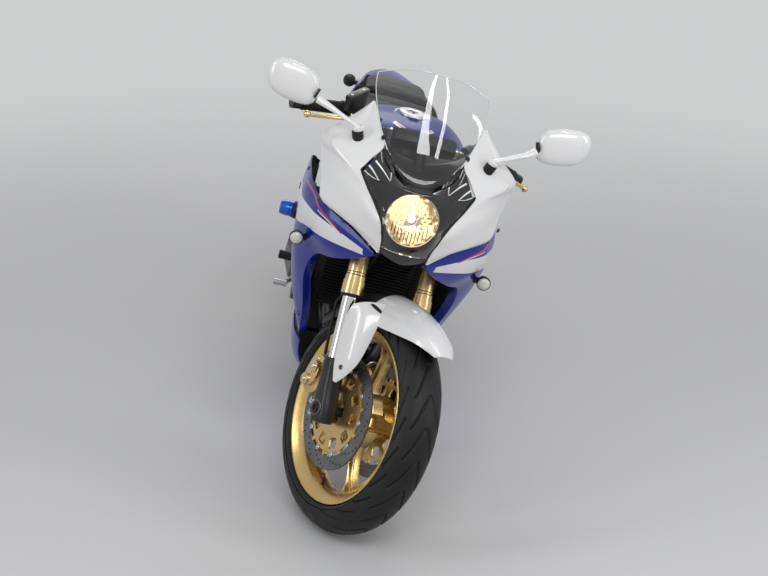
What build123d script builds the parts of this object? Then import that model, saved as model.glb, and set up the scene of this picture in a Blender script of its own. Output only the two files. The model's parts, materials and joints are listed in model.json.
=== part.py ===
from build123d import *
import math
import os

os.makedirs("parts", exist_ok=True)

# Upright working frame, millimetres: origin on the ground under the front axle,
# x to the rider's left, y to the rear, z up. The finished pieces are turned at the end
# to the parked stance: steering on its left stop, machine leaning on the side stand.

# Driving dimensions
wheelbase = 1437.0
front_tyre_radius = 300.0
front_crown_radius = 60.0
rear_tyre_radius = 315.0
rear_crown_radius = 90.0
flange_radius = 232.0
seat_radius = 218.5
front_rim_half = 44.5
rear_rim_half = 70.0
caster_deg = 25.0
trail = 99.0
leg_x = 107.6
steer_stop_deg = 27.46
lean_deg = 13.0
pitch_deg = 0.319
settle_z = -5.487
panel_t = 4.0
front_disc_x = 66.5
rear_disc_x = -98.5
chain_x = 104.0
spoke_count = 5
spoke_start_deg = -3.0

sin_c = math.sin(math.radians(caster_deg))
cos_c = math.cos(math.radians(caster_deg))
front_axle = Vector(0, 0, front_tyre_radius)
rear_axle_at = Vector(0, wheelbase, rear_tyre_radius)
steering_axis = Axis((0, -trail, 0), (0, sin_c, cos_c))
pieces = {}
steered = set()


def keep(name, block, turns_with_bars=False):
    """Note a finished piece under its node name."""
    pieces[name] = block.part
    if turns_with_bars:
        steered.add(name)


def leg_point(side, s, ahead=0.0):
    """Point on a fork leg's axis, s along it from the axle, moved ahead square to the leg."""
    return (side * leg_x, s * sin_c - ahead * cos_c, front_tyre_radius + s * cos_c + ahead * sin_c)


def axis_point(s):
    """Point on the steering axis, s along it from the ground."""
    return (0, -trail + s * sin_c, s * cos_c)


def steer_plane(point):
    """Plane square to the steering axis through a point, x to the left."""
    return Plane(origin=point, x_dir=(1, 0, 0), z_dir=(0, sin_c, cos_c))


def rod(points, radius, bend=0.0):
    """Round bar along a line of points, corners rounded to the bend radius."""
    with BuildPart() as bar:
        with BuildLine() as path:
            if bend and len(points) > 2:
                FilletPolyline(*points, radius=bend)
            else:
                Polyline(*points)
        with BuildSketch(Plane(origin=path.line @ 0, z_dir=path.line % 0)):
            Circle(radius)
        sweep(path=path.line, transition=Transition.RIGHT)
    return bar.part


def shell(rows, thick, inward):
    """Thin panel: each row is a chain of outer points, the inner side lies thick along inward."""
    shift = Vector(*inward).normalized() * thick
    strips = []
    for row in rows:
        outer = [Vector(*p) for p in row]
        inner = [p + shift for p in reversed(outer)]
        strips.append(Wire.make_polygon(outer + inner))
    return Solid.make_loft(strips, ruled=True)


def block(rows):
    """Closed body lofted straight through rows of corner points."""
    return Solid.make_loft([Wire.make_polygon([Vector(*p) for p in row]) for row in rows], ruled=True)


def mirrored(solid):
    """The same shape on the other side of the machine."""
    return solid.mirror(Plane.YZ)


# Tyres: crown arc of the real section, straight-bottomed where the rim takes over
def tyre_profile(half, tyre_r, crown_r, start_deg):
    a = math.radians(start_deg)
    ring = tyre_r - crown_r
    side = (crown_r * math.cos(a), ring + crown_r * math.sin(a))
    bead_x = half - 0.5
    bead = (bead_x, flange_radius + 0.8)
    mid = ((side[0] + bead[0]) / 2 + 1.8, (side[1] + bead[1]) / 2 - 2.2)
    with BuildSketch(Plane.XY) as profile:
        with BuildLine():
            ThreePointArc((-side[0], side[1]), (0, tyre_r), side)
            ThreePointArc(side, mid, bead)
            Line(bead, (bead_x, seat_radius + 0.5))
            Line((bead_x, seat_radius + 0.5), (-bead_x, seat_radius + 0.5))
            Line((-bead_x, seat_radius + 0.5), (-bead[0], bead[1]))
            ThreePointArc((-bead[0], bead[1]), (-mid[0], mid[1]), (-side[0], side[1]))
        make_face()
    return profile.sketch


# Rim barrel: flanges, bead seats, drop centre
def rim_profile(half, inner_r, centre_half):
    right = [
        (centre_half, inner_r), (half - 6, inner_r + 15), (half + 6.5, flange_radius - 6),
        (half + 6.5, flange_radius), (half, flange_radius), (half, seat_radius),
        (half - 9, seat_radius), (half - 24, seat_radius - 15),
    ]
    left = [(-x, r) for x, r in reversed(right)]
    with BuildSketch(Plane.XY) as profile:
        with BuildLine():
            Polyline(*(right + left), close=True)
        make_face()
    return profile.sketch


def wheel_plane(centre, x=0.0):
    """Plane of a wheel: its y runs up, its x forward."""
    return Plane(origin=centre + Vector(x, 0, 0), x_dir=(0, -1, 0), z_dir=(-1, 0, 0))


# Spoke outline, from the hub out: distance along the spoke, half width
spoke_outline = [(20, 27), (60, 25), (80, 19), (120, 13), (160, 13), (185, 19), (201, 24)]


def outline_face(points):
    """Flat face inside a closed line, to be placed by locations."""
    with BuildSketch() as face:
        with BuildLine():
            Polyline(*points, close=True)
        make_face()
    return face.sketch


def spoked_rim(centre, half, inner_r, centre_half, spoke_half, hub_half, hub_r, bore_r, lug_r):
    spoke = outline_face(spoke_outline + [(r, -w) for r, w in reversed(spoke_outline)])
    window = outline_face([(168, 0), (188, 11), (188, -11)])
    with BuildPart() as rim:
        with BuildSketch(Plane(origin=centre, x_dir=(1, 0, 0), z_dir=(0, -1, 0))):
            add(rim_profile(half, inner_r, centre_half))
        revolve(axis=Axis(centre, (1, 0, 0)))
        with BuildSketch(wheel_plane(centre, spoke_half)):
            with PolarLocations(0, spoke_count, start_angle=90 - spoke_start_deg):
                add(spoke)
        extrude(amount=2 * spoke_half)
        with BuildSketch(wheel_plane(centre, hub_half)):
            Circle(hub_r)
        extrude(amount=2 * hub_half)
        with BuildSketch(wheel_plane(centre, 18)):
            Circle(lug_r)
        extrude(amount=36)
        with BuildSketch(wheel_plane(centre, spoke_half + 1)):
            with PolarLocations(0, spoke_count, start_angle=90 - spoke_start_deg):
                add(window)
        extrude(amount=2 * spoke_half + 2, mode=Mode.SUBTRACT)
        with BuildSketch(wheel_plane(centre, hub_half + 1)):
            Circle(bore_r)
            with PolarLocations(lug_r - 17, spoke_count, start_angle=90 - spoke_start_deg + 36):
                Circle(9)
        extrude(amount=2 * hub_half + 2, mode=Mode.SUBTRACT)
    return rim


# Rows of drillings in a front disc: radius, angle offset; each row goes all the way round
drill_rows = [(119.5, 0), (125.5, 6), (131.5, 12), (137.0, 18), (142.5, 24)]
drill_count, drill_r = 12, 3.0
button_count, button_at, button_r = 10, 108.5, 6.0
carrier_r = 104.0


def ring_plate(centre, x, thick, outer_r, inner_r):
    """Drilled brake ring, notched at its inner edge for the carrier's buttons."""
    with BuildPart() as ring:
        with BuildSketch(wheel_plane(centre, x + thick / 2)):
            Circle(outer_r)
            Circle(inner_r, mode=Mode.SUBTRACT)
            with PolarLocations(button_at, button_count):
                Circle(button_r, mode=Mode.SUBTRACT)
            for r, offset in drill_rows:
                with PolarLocations(r, drill_count, start_angle=offset):
                    Circle(drill_r, mode=Mode.SUBTRACT)
        extrude(amount=thick)
    return ring.part


def carrier_plate(centre, x, thick, side, hub_x):
    """Gold centre of a floating disc: ladder windows, a boss on the hub, buttons at the rim."""
    with BuildPart() as carrier:
        with BuildSketch(wheel_plane(centre, x + thick / 2)):
            Circle(carrier_r)
            Circle(30, mode=Mode.SUBTRACT)
            with PolarLocations(80, button_count, start_angle=18):
                RectangleRounded(28, 30, 7, mode=Mode.SUBTRACT)
        extrude(amount=thick)
        with BuildSketch(wheel_plane(centre, x + 4)):
            with PolarLocations(button_at, button_count):
                Circle(button_r)
        extrude(amount=8)
        with BuildSketch(Plane(origin=centre + Vector(side * hub_x, 0, 0), z_dir=(side, 0, 0))):
            Circle(44)
            Circle(30, mode=Mode.SUBTRACT)
        extrude(amount=abs(x) - hub_x)
    return carrier.part


def disc_set(centre, x, thick, outer_r, inner_r, hub_r, bore_r, arms, hub_x):
    """Small brake disc with its arms, centre and the boss that seats on the hub."""
    with BuildPart() as disc:
        with BuildSketch(wheel_plane(centre, x + thick / 2)):
            Circle(outer_r)
            Circle(inner_r, mode=Mode.SUBTRACT)
            for r, offset in ((96, 0), (104, 7.5), (112, 15)):
                with PolarLocations(r, 16, start_angle=offset):
                    Circle(drill_r, mode=Mode.SUBTRACT)
        extrude(amount=thick)
        with BuildSketch(wheel_plane(centre, x + thick / 2)):
            Circle(hub_r)
            with PolarLocations((inner_r + hub_r) / 2, arms):
                Rectangle(inner_r - hub_r + 14, 15)
            Circle(bore_r, mode=Mode.SUBTRACT)
        extrude(amount=thick)
        with BuildSketch(wheel_plane(centre, -hub_x)):
            Circle(50)
            Circle(bore_r, mode=Mode.SUBTRACT)
        extrude(amount=abs(x) - hub_x)
    return disc.part


def tyre(centre, half, tyre_r, crown_r, start_deg):
    with BuildPart() as ring:
        with BuildSketch(Plane(origin=centre, x_dir=(1, 0, 0), z_dir=(0, -1, 0))):
            add(tyre_profile(half, tyre_r, crown_r, start_deg))
        revolve(axis=Axis(centre, (1, 0, 0)))
    return ring


# Front wheel
front_tyre = tyre(front_axle, front_rim_half, front_tyre_radius, front_crown_radius, 6)
keep("front_tyre", front_tyre, True)
front_rim = spoked_rim(front_axle, front_rim_half, 194, 18, 13, 52, 30, 14, 84)
keep("front_rim", front_rim, True)
with BuildPart() as front_discs:
    for side in (-1, 1):
        add(ring_plate(front_axle, side * front_disc_x, 5, 148, 113))
keep("front_discs", front_discs, True)
with BuildPart() as front_disc_carriers:
    for side in (-1, 1):
        add(carrier_plate(front_axle, side * front_disc_x, 5, side, 50))
keep("front_disc_carriers", front_disc_carriers, True)

# Rear wheel
rear_tyre = tyre(rear_axle_at, rear_rim_half, rear_tyre_radius, rear_crown_radius, 12)
keep("rear_tyre", rear_tyre)
rear_rim = spoked_rim(rear_axle_at, rear_rim_half, 194, 24, 17, 92, 36, 14.5, 92)
keep("rear_rim", rear_rim)
with BuildPart() as rear_disc:
    add(disc_set(rear_axle_at, rear_disc_x, 5, 120, 88, 56, 36, 6, 90))
keep("rear_disc", rear_disc)

# Rear sprocket: teeth round a drilled plate
sprocket_teeth = 45
chain_rear_r = 113.0
chain_front_r = 40.0
chain_front_at = Vector(0, 800, 420)
tooth = outline_face([(-2, -5.5), (5.4, -1.8), (5.4, 1.8), (-2, 5.5)])
with BuildPart() as rear_sprocket:
    with BuildSketch(wheel_plane(rear_axle_at, chain_x + 3)):
        Circle(101)
        with PolarLocations(101, sprocket_teeth):
            add(tooth)
        Circle(37, mode=Mode.SUBTRACT)
        with PolarLocations(72, 5):
            Circle(15, mode=Mode.SUBTRACT)
    extrude(amount=6)
keep("rear_sprocket", rear_sprocket)

# Fork: distances along the leg from the axle
foot_low, foot_high = -34.0, 130.0
collar_s, tube_top_s = 296.0, 720.0
lower_yoke_s, upper_yoke_s = 500.0, 672.0
with BuildPart() as fork_feet:
    for side in (-1, 1):
        with BuildSketch(steer_plane(leg_point(side, foot_low))):
            Circle(25)
        extrude(amount=foot_high - foot_low)
        with BuildSketch(Plane(origin=(side * (leg_x - 24), 0, front_tyre_radius), z_dir=(side, 0, 0))):
            Circle(29)
        extrude(amount=48)
    with BuildSketch(Plane(origin=(-200, 0, front_tyre_radius), z_dir=(1, 0, 0))):
        Circle(12)
    extrude(amount=400, mode=Mode.SUBTRACT)
    for side in (-1, 1):
        with BuildSketch(steer_plane(leg_point(side, foot_high - 40))):
            Circle(20.8)
        extrude(amount=60, mode=Mode.SUBTRACT)
keep("fork_feet", fork_feet, True)
with BuildPart() as fork_sliders:
    for side in (-1, 1):
        with BuildSketch(steer_plane(leg_point(side, foot_high - 39))):
            Circle(20.5)
        extrude(amount=collar_s + 30 - foot_high + 39)
keep("fork_sliders", fork_sliders, True)
# Collar ledges up the outer tube: start, end, radius
tube_steps = [(296, 330, 28.5), (330, 344, 26.5), (344, 720, 25.0), (560, 566, 26.0)]
with BuildPart() as fork_tubes:
    for side in (-1, 1):
        for low, high, r in tube_steps:
            with BuildSketch(steer_plane(leg_point(side, low))):
                Circle(r)
            extrude(amount=high - low)
        with BuildSketch(steer_plane(leg_point(side, collar_s))):
            Circle(20.8)
        extrude(amount=32, mode=Mode.SUBTRACT)
        with BuildSketch(steer_plane(leg_point(side, tube_top_s + 0.3))):
            Circle(21)
        extrude(amount=5)
        with BuildSketch(steer_plane(leg_point(side, tube_top_s + 5.3))):
            RegularPolygon(9, 6)
        extrude(amount=6)
keep("fork_tubes", fork_tubes, True)
fork_offset = (front_tyre_radius * math.tan(math.radians(caster_deg)) - trail) * cos_c


def yoke(s, thick, width):
    with BuildPart() as plate:
        with BuildSketch(steer_plane(leg_point(0, s))):
            with BuildLine():
                Polyline(
                    (-leg_x - 36, -18), (-leg_x - 36, 22), (-60, 30), (-34, fork_offset + 26),
                    (34, fork_offset + 26), (60, 30), (leg_x + 36, 22), (leg_x + 36, -18),
                    (leg_x + 10, -36), (leg_x - 30, -30), (40, -width), (-40, -width),
                    (-leg_x + 30, -30), (-leg_x - 10, -36), close=True,
                )
            make_face()
            with Locations((-leg_x, 0), (leg_x, 0)):
                Circle(25.3, mode=Mode.SUBTRACT)
        extrude(amount=thick)
    return plate.part


with BuildPart() as yokes:
    add(yoke(lower_yoke_s, 34, 14))
    add(yoke(upper_yoke_s, 24, 10))
    with BuildSketch(steer_plane(axis_point(800))):
        Circle(15)
    extrude(amount=222)
keep("yokes", yokes, True)
with BuildPart() as front_axle_tube:
    with BuildSketch(Plane(origin=(-134, 0, front_tyre_radius), z_dir=(1, 0, 0))):
        Circle(11.6)
        Circle(7.5, mode=Mode.SUBTRACT)
    extrude(amount=268)
keep("front_axle", front_axle_tube, True)

# Front mudguard: angle back from straight up, crown radius, half width, edge radius
guard_rows = [
    (-33, 362, 26, 348), (-26, 357, 52, 326), (-14, 347, 70, 300), (0, 335, 79, 272),
    (18, 326, 82, 252), (40, 322, 80, 250), (62, 322, 72, 262),
]


def guard_section(row, t):
    deg, crown, half, edge = row
    a = math.radians(deg)
    out = []
    for u in (-1.0, -0.92, -0.66, -0.32, 0.0, 0.32, 0.66, 0.92, 1.0):
        k = abs(u)
        drop = {1.0: 1.0, 0.92: 0.62, 0.66: 0.27, 0.32: 0.06, 0.0: 0.0}[k]
        r = crown - t - (crown - edge) * drop
        x = (half - (t if k > 0.5 else 0)) * u
        out.append((x, r * math.sin(a), front_tyre_radius + r * math.cos(a)))
    return out


# Wing ahead of the right leg: height, inner edge (x, y), middle, outer edge
wing_rows = [
    (582, (66, 40), (96, 45), (128, 66)),
    (548, (74, 0), (104, 18), (129, 72)),
    (500, (82, -22), (110, -6), (129, 60)),
    (455, (92, -34), (114, -18), (128, 44)),
    (415, (103, -24), (117, -10), (127, 24)),
    (380, (114, -3), (118, -1), (122, 3)),
]
with BuildPart() as front_mudguard:
    add(Solid.make_loft([
        Wire.make_polygon([Vector(*p) for p in guard_section(r, 0)]
                          + [Vector(*p) for p in reversed(guard_section(r, 3.0))])
        for r in guard_rows
    ], ruled=True))
    wing = shell([[(a[0], a[1], z), (m[0], m[1], z), (b[0], b[1], z)] for z, a, m, b in wing_rows],
                 3.5, (-0.35, 1.0, 0))
    add(wing)
    add(mirrored(wing))
keep("front_mudguard", front_mudguard, True)

# Front calipers: behind each leg, straddling the disc
caliper_reach = 128.0
caliper_deg = 15.0
with BuildPart() as front_calipers:
    for side in (-1, 1):
        with BuildSketch(Plane(origin=(46 if side > 0 else -100, 0, front_tyre_radius),
                               x_dir=(0, math.cos(math.radians(caliper_deg)), math.sin(math.radians(caliper_deg))),
                               z_dir=(1, 0, 0))):
            with BuildLine():
                Polyline((96, -44), (96, 44), (120, 54), (152, 46), (166, 18), (166, -18),
                         (152, -46), (120, -54), close=True)
            make_face()
        extrude(amount=54)
        with BuildSketch(Plane(origin=(side * front_disc_x - 7.5, 0, front_tyre_radius), z_dir=(1, 0, 0))):
            Circle(154)
        extrude(amount=15, mode=Mode.SUBTRACT)
        with BuildSketch(Plane(origin=(side * 107 - 12, 0, front_tyre_radius),
                               x_dir=(0, math.cos(math.radians(caliper_deg)), math.sin(math.radians(caliper_deg))),
                               z_dir=(1, 0, 0))):
            with Locations((126, 24), (126, -24)):
                Circle(16)
        extrude(amount=24)
keep("front_calipers", front_calipers, True)

# Handlebars, one each side: clamp on the tube, riser, bar
bar_in = (176, 354, 967)
bar_out = (348, 356, 932)
with BuildPart() as handlebars:
    for side in (-1, 1):
        add(rod([(side * 138, 318, 962), (side * bar_in[0], bar_in[1], bar_in[2]),
                 (side * bar_out[0], bar_out[1], bar_out[2])], 11, 24))
        with BuildSketch(steer_plane(leg_point(side, 698))):
            Circle(34)
            Circle(25.3, mode=Mode.SUBTRACT)
        extrude(amount=22)


def along_bar(side, a, b, r_out, r_in):
    """Sleeve on the bar between two fractions of its outer run."""
    p0 = Vector(side * bar_in[0], bar_in[1], bar_in[2])
    p1 = Vector(side * bar_out[0], bar_out[1], bar_out[2])
    run = p1 - p0
    with BuildPart() as sleeve:
        with BuildSketch(Plane(origin=p0 + run * a, z_dir=run)):
            Circle(r_out)
            if r_in:
                Circle(r_in, mode=Mode.SUBTRACT)
        extrude(amount=run.length * (b - a))
    return sleeve.part


with BuildPart() as grips:
    for side in (-1, 1):
        add(along_bar(side, 0.36, 0.985, 16.5, 11.3))
        add(along_bar(side, 0.325, 0.355, 19, 11.3))
keep("grips", grips, True)
with BuildPart() as bars_and_ends:
    add(handlebars.part)
    for side in (-1, 1):
        add(along_bar(side, 1.002, 1.15, 15, 0))
keep("handlebars", bars_and_ends, True)
# Lever slices outward: x, y, z, half depth, half height; the last three make the ball
lever_rows = [(232, 303, 955, 9, 5), (262, 292, 948, 7, 5), (300, 289, 940, 6, 6), (344, 293, 930, 5, 5),
              (349, 294, 928.5, 9, 9), (358, 294, 927, 9, 9), (364, 294, 926, 4, 4)]
with BuildPart() as levers:
    for side in (-1, 1):
        add(block([[(side * x, y - d, z - h * 0.5), (side * x, y - d, z + h * 0.5), (side * x, y - d * 0.5, z + h),
                    (side * x, y + d * 0.5, z + h), (side * x, y + d, z + h * 0.5), (side * x, y + d, z - h * 0.5),
                    (side * x, y + d * 0.5, z - h), (side * x, y - d * 0.5, z - h)] for x, y, z, d, h in lever_rows]))
keep("levers", levers, True)
# Fluid reservoir on the right bar: front corners of its cap and of its base, depth backward
reservoir_cap = [(-257, 300, 1001), (-209, 330, 1031)]
reservoir_base = [(-249, 300, 966), (-199, 318, 968)]
reservoir_back = (-8, 20, -2)
with BuildPart() as bar_controls:
    for side in (-1, 1):
        add(along_bar(side, 0.075, 0.165, 20, 11.3))
        add(along_bar(side, 0.17, 0.30, 17, 11.3))
        add(rod([(side * 214, 338, 958), (side * 214, 314, 959)], 9))
        add(rod([(side * 200, 312, 961), (side * 228, 312, 956)], 12))
    add(block([[tuple(Vector(*p) + Vector(*reservoir_back) * k) for p, k in
                ((quad[0], 0), (quad[1], 0), (quad[1], 1), (quad[0], 1))] for quad in (reservoir_base, reservoir_cap)]))
    add(rod([(-222, 312, 958), (-222, 318, 972)], 9))
keep("bar_controls", bar_controls, True)

# Brake hoses: from the reservoir down ahead of the yokes to each caliper
with BuildPart() as brake_hoses:
    for side in (-1, 1):
        add(rod([(side * 56, 232, 930), (side * 58, 162, 780), (side * 62, 172, 650),
                 (side * 106, 172, 520), (side * 92, 128, 388)], 4, 24))
keep("brake_hoses", brake_hoses, True)

# Side stand: bolt and foot places, and where it points when folded
stand_pivot = Vector(122, 772, 296)
stand_foot = Vector(268, 704, 73)
stand_folded = Vector(0.10, 0.98, -0.16)
stand_axis = (stand_foot - stand_pivot).cross(stand_folded).normalized()
# Frame: head tube, backbone, pivot plates, stand bracket with its bolt
backbone = [(300, 775), (318, 835), (400, 825), (600, 770), (760, 690), (870, 600), (885, 470),
            (800, 470), (785, 560), (690, 640), (540, 705), (400, 745)]
pivot_plate = [(800, 600), (880, 600), (925, 480), (925, 370), (900, 334), (806, 326), (775, 352), (790, 470)]
with BuildPart() as frame:
    with BuildSketch(steer_plane(axis_point(852))):
        Circle(38)
    extrude(amount=130)
    with BuildSketch(Plane(origin=(-40, 0, 0), x_dir=(0, 1, 0), z_dir=(1, 0, 0))):
        with BuildLine():
            Polyline(*backbone, close=True)
        make_face()
    extrude(amount=80)
    for x in (118, -134):
        with BuildSketch(Plane(origin=(x, 0, 0), x_dir=(0, 1, 0), z_dir=(1, 0, 0))):
            with BuildLine():
                Polyline(*pivot_plate, close=True)
            make_face()
            with Locations((870, 400)):
                Circle(13, mode=Mode.SUBTRACT)
        extrude(amount=16)
    with Locations((0, 845, 575)):
        Box(268, 34, 34)
    with BuildSketch(steer_plane(axis_point(840))):
        Circle(17)
    extrude(amount=180, mode=Mode.SUBTRACT)
    with BuildSketch(Plane(origin=(0, 757, 0), x_dir=(1, 0, 0), z_dir=(0, 1, 0))):
        with BuildLine():
            Polyline((90, -284), (90, -322.5), (119.5, -277.5), (110, -272), close=True)
        make_face()
    extrude(amount=30)
    for start, long, r in ((-14, 27, 6), (11.6, 4, 10)):
        with BuildSketch(Plane(origin=stand_pivot + stand_axis * start, z_dir=stand_axis)):
            Circle(r)
        extrude(amount=long)
keep("frame", frame)

# Subframe rails and stays
with BuildPart() as subframe:
    for side in (-1, 1):
        add(rod([(side * 60, 862, 640), (side * 84, 1000, 712), (side * 80, 1250, 762), (side * 44, 1560, 762)], 11, 60))
        add(rod([(side * 108, 884, 560), (side * 100, 1050, 650), (side * 80, 1290, 752)], 10, 60))
    with Locations((0, 1500, 762)):
        Box(118, 18, 18)
keep("subframe", subframe)

# Engine: crankcase, cylinder block, covers
engine_side = [(442, 674), (590, 674), (660, 485), (742, 470), (744, 400), (744, 330), (736, 285),
               (520, 270), (480, 300), (470, 420), (430, 600)]
gearbox_side = [(745, 470), (835, 465), (840, 330), (800, 285), (740, 285)]
with BuildPart() as engine:
    with BuildSketch(Plane(origin=(-150, 0, 0), x_dir=(0, 1, 0), z_dir=(1, 0, 0))):
        with BuildLine():
            Polyline(*engine_side, close=True)
        make_face()
    extrude(amount=300)
    with BuildSketch(Plane(origin=(-90, 0, 0), x_dir=(0, 1, 0), z_dir=(1, 0, 0))):
        with BuildLine():
            Polyline(*gearbox_side, close=True)
        make_face()
    extrude(amount=180)
    with BuildSketch(Plane(origin=(150, 610, 372), z_dir=(1, 0, 0))):
        Circle(72)
    extrude(amount=34, taper=8)
    with BuildSketch(Plane(origin=(-150, 660, 380), z_dir=(-1, 0, 0))):
        Circle(84)
    extrude(amount=40, taper=8)
keep("engine", engine)

# Radiator: end tanks and core, the core set back behind a row of fins
radiator_low, radiator_high = Vector(0, 386, 429), Vector(0, 312, 709)
radiator_half, core_half, radiator_deep, core_deep, fin_count = 165.0, 140.0, 30.0, 20.0, 26
radiator_run = radiator_high - radiator_low
radiator_plane = Plane(origin=(radiator_low + radiator_high) / 2, x_dir=(1, 0, 0),
                       z_dir=Vector(1, 0, 0).cross(radiator_run))
with BuildPart() as radiator:
    with BuildSketch(radiator_plane):
        Rectangle(2 * radiator_half, radiator_run.length)
        Rectangle(2 * core_half, radiator_run.length - 24, mode=Mode.SUBTRACT)
    extrude(amount=radiator_deep / 2, both=True)
    with BuildSketch(radiator_plane):
        Rectangle(2 * core_half, radiator_run.length - 24)
    extrude(amount=core_deep / 2, both=True)
    with BuildSketch(radiator_plane):
        with GridLocations(0, (radiator_run.length - 24) / fin_count, 1, fin_count):
            Rectangle(2 * core_half, 3)
    extrude(amount=radiator_deep / 2 - 1, both=True)
keep("radiator", radiator)

# Exhaust headers: one path each, then the collector
with BuildPart() as exhaust_headers:
    for x in (-105, -35, 35, 105):
        add(rod([(x, 412, 640), (x, 404, 560), (x, 440, 400), (x * 0.62, 462, 248), (x * 0.3, 600, 240)], 18, 40))
    add(rod([(0, 590, 240), (0, 800, 243), (-100, 915, 251)], 28, 60))
keep("exhaust_headers", exhaust_headers)
# Silencer sections: y, centre x, centre z, half width, half height
silencer_rows = [(940, -120, 252, 36, 36), (985, -134, 256, 58, 52), (1120, -150, 266, 62, 54), (1190, -156, 274, 46, 44)]


def soft_box(y, cx, cz, hw, hh, cut=0.45):
    a, b = hw * cut, hh * cut
    return [(cx - hw + a, y, cz - hh), (cx + hw - a, y, cz - hh), (cx + hw, y, cz - hh + b), (cx + hw, y, cz + hh - b),
            (cx + hw - a, y, cz + hh), (cx - hw + a, y, cz + hh), (cx - hw, y, cz + hh - b), (cx - hw, y, cz - hh + b)]


with BuildPart() as silencer:
    add(block([soft_box(*r) for r in silencer_rows]))
    with BuildSketch(Plane(origin=(-156, 1150, 274), z_dir=(0, 1, 0))):
        Circle(20)
    extrude(amount=52)
    with BuildSketch(Plane(origin=(-156, 1165, 274), z_dir=(0, 1, 0))):
        Circle(17)
    extrude(amount=60, mode=Mode.SUBTRACT)
keep("silencer", silencer)

# Swingarm: y, centre x of the arm, width, centre z, height
arm_rows = [(842, 99, 30, 402, 40), (1000, 101, 30, 386, 72), (1200, 130, 26, 350, 64),
            (1340, 136, 26, 326, 58), (1437, 136, 26, 315, 62), (1505, 136, 20, 308, 40)]
arm_pivot = Vector(0, 870, 400)
with BuildPart() as swingarm:
    for side in (-1, 1):
        add(block([[(side * (x - w / 2), y, z - h / 2), (side * (x + w / 2), y, z - h / 2),
                    (side * (x + w / 2), y, z + h / 2), (side * (x - w / 2), y, z + h / 2)]
                   for y, x, w, z, h in arm_rows]))
        with BuildSketch(Plane(origin=arm_pivot + Vector(side * 83, 0, 0), z_dir=(side, 0, 0))):
            Circle(27)
        extrude(amount=34)
    for hub in (arm_pivot, rear_axle_at):
        with BuildSketch(Plane(origin=hub - Vector(200, 0, 0), z_dir=(1, 0, 0))):
            Circle(13)
        extrude(amount=400, mode=Mode.SUBTRACT)
keep("swingarm", swingarm)
# Between the arms: pivot tube with its pin, and the cross brace
with BuildPart() as swingarm_brace:
    with BuildSketch(Plane(origin=arm_pivot - Vector(83, 0, 0), z_dir=(1, 0, 0))):
        Circle(23)
        Circle(13, mode=Mode.SUBTRACT)
    extrude(amount=166)
    with Locations((0, 1020, 384)):
        Box(204, 62, 58)
    add(swingarm.part, mode=Mode.SUBTRACT)
    with BuildSketch(Plane(origin=arm_pivot - Vector(137, 0, 0), z_dir=(1, 0, 0))):
        Circle(12.6)
    extrude(amount=274)
keep("swingarm_brace", swingarm_brace)
with BuildPart() as rear_axle_tube:
    with BuildSketch(Plane(origin=(-166, wheelbase, rear_tyre_radius), z_dir=(1, 0, 0))):
        Circle(12.6)
        Circle(8, mode=Mode.SUBTRACT)
    extrude(amount=332)
keep("rear_axle", rear_axle_tube)
with BuildPart() as rear_shock:
    add(rod([(0, 912, 648), (0, 950, 520)], 22))
    add(rod([(0, 945, 540), (0, 965, 452)], 13))
    for i in range(6):
        p = Vector(0, 917 + 6.3 * i, 630 - 21 * i)
        with BuildSketch(Plane(origin=p, z_dir=(0, 0.285, -0.958))):
            Circle(31)
        extrude(amount=9)
keep("rear_shock", rear_shock)


# Chain: links of one loop, side plates pinched between the pins, a roller on each pin
link_count = 112
plate_crest, plate_waist, crest_half = 7.2, 4.6, 3.0
roller_r, plate_gap, plate_thick = 4.6, 6.0, 2.0


def chain_run():
    """Points of the loop for a given share of its length, with the direction outward."""
    a, b = chain_front_at, rear_axle_at
    ra, rb = chain_front_r, chain_rear_r
    dist = math.hypot(b.Y - a.Y, b.Z - a.Z)
    base = math.atan2(b.Z - a.Z, b.Y - a.Y)
    off = math.acos((ra - rb) / dist)
    straight = math.sqrt(dist ** 2 - (rb - ra) ** 2)
    over, under = base + off, base - off
    back_turn, front_turn = 2 * off, 2 * (math.pi - off)
    total = 2 * straight + rb * back_turn + ra * front_turn

    def at(share):
        s = (share % 1.0) * total
        if s < straight:
            k = s / straight
            n = over
            y = (a.Y + ra * math.cos(n)) * (1 - k) + (b.Y + rb * math.cos(n)) * k
            z = (a.Z + ra * math.sin(n)) * (1 - k) + (b.Z + rb * math.sin(n)) * k
            return y, z, n
        s -= straight
        if s < rb * back_turn:
            n = over - s / rb
            return b.Y + rb * math.cos(n), b.Z + rb * math.sin(n), n
        s -= rb * back_turn
        if s < straight:
            k = s / straight
            n = under
            y = (b.Y + rb * math.cos(n)) * (1 - k) + (a.Y + ra * math.cos(n)) * k
            z = (b.Z + rb * math.sin(n)) * (1 - k) + (a.Z + ra * math.sin(n)) * k
            return y, z, n
        n = under - (s - straight) / ra
        return a.Y + ra * math.cos(n), a.Z + ra * math.sin(n), n

    return at


chain_at = chain_run()


def plate_edge(sign):
    """Edge of the side plates, outside or inside the pins: a flat crest by each pin, a waist between."""
    pts = []
    for i in range(link_count):
        y, z, n = chain_at(i / link_count)
        for along in (crest_half, -crest_half):
            pts.append((y + sign * plate_crest * math.cos(n) - along * math.sin(n),
                        z + sign * plate_crest * math.sin(n) + along * math.cos(n)))
        y, z, n = chain_at((i + 0.5) / link_count)
        pts.append((y + sign * plate_waist * math.cos(n), z + sign * plate_waist * math.sin(n)))
    return pts


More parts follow.
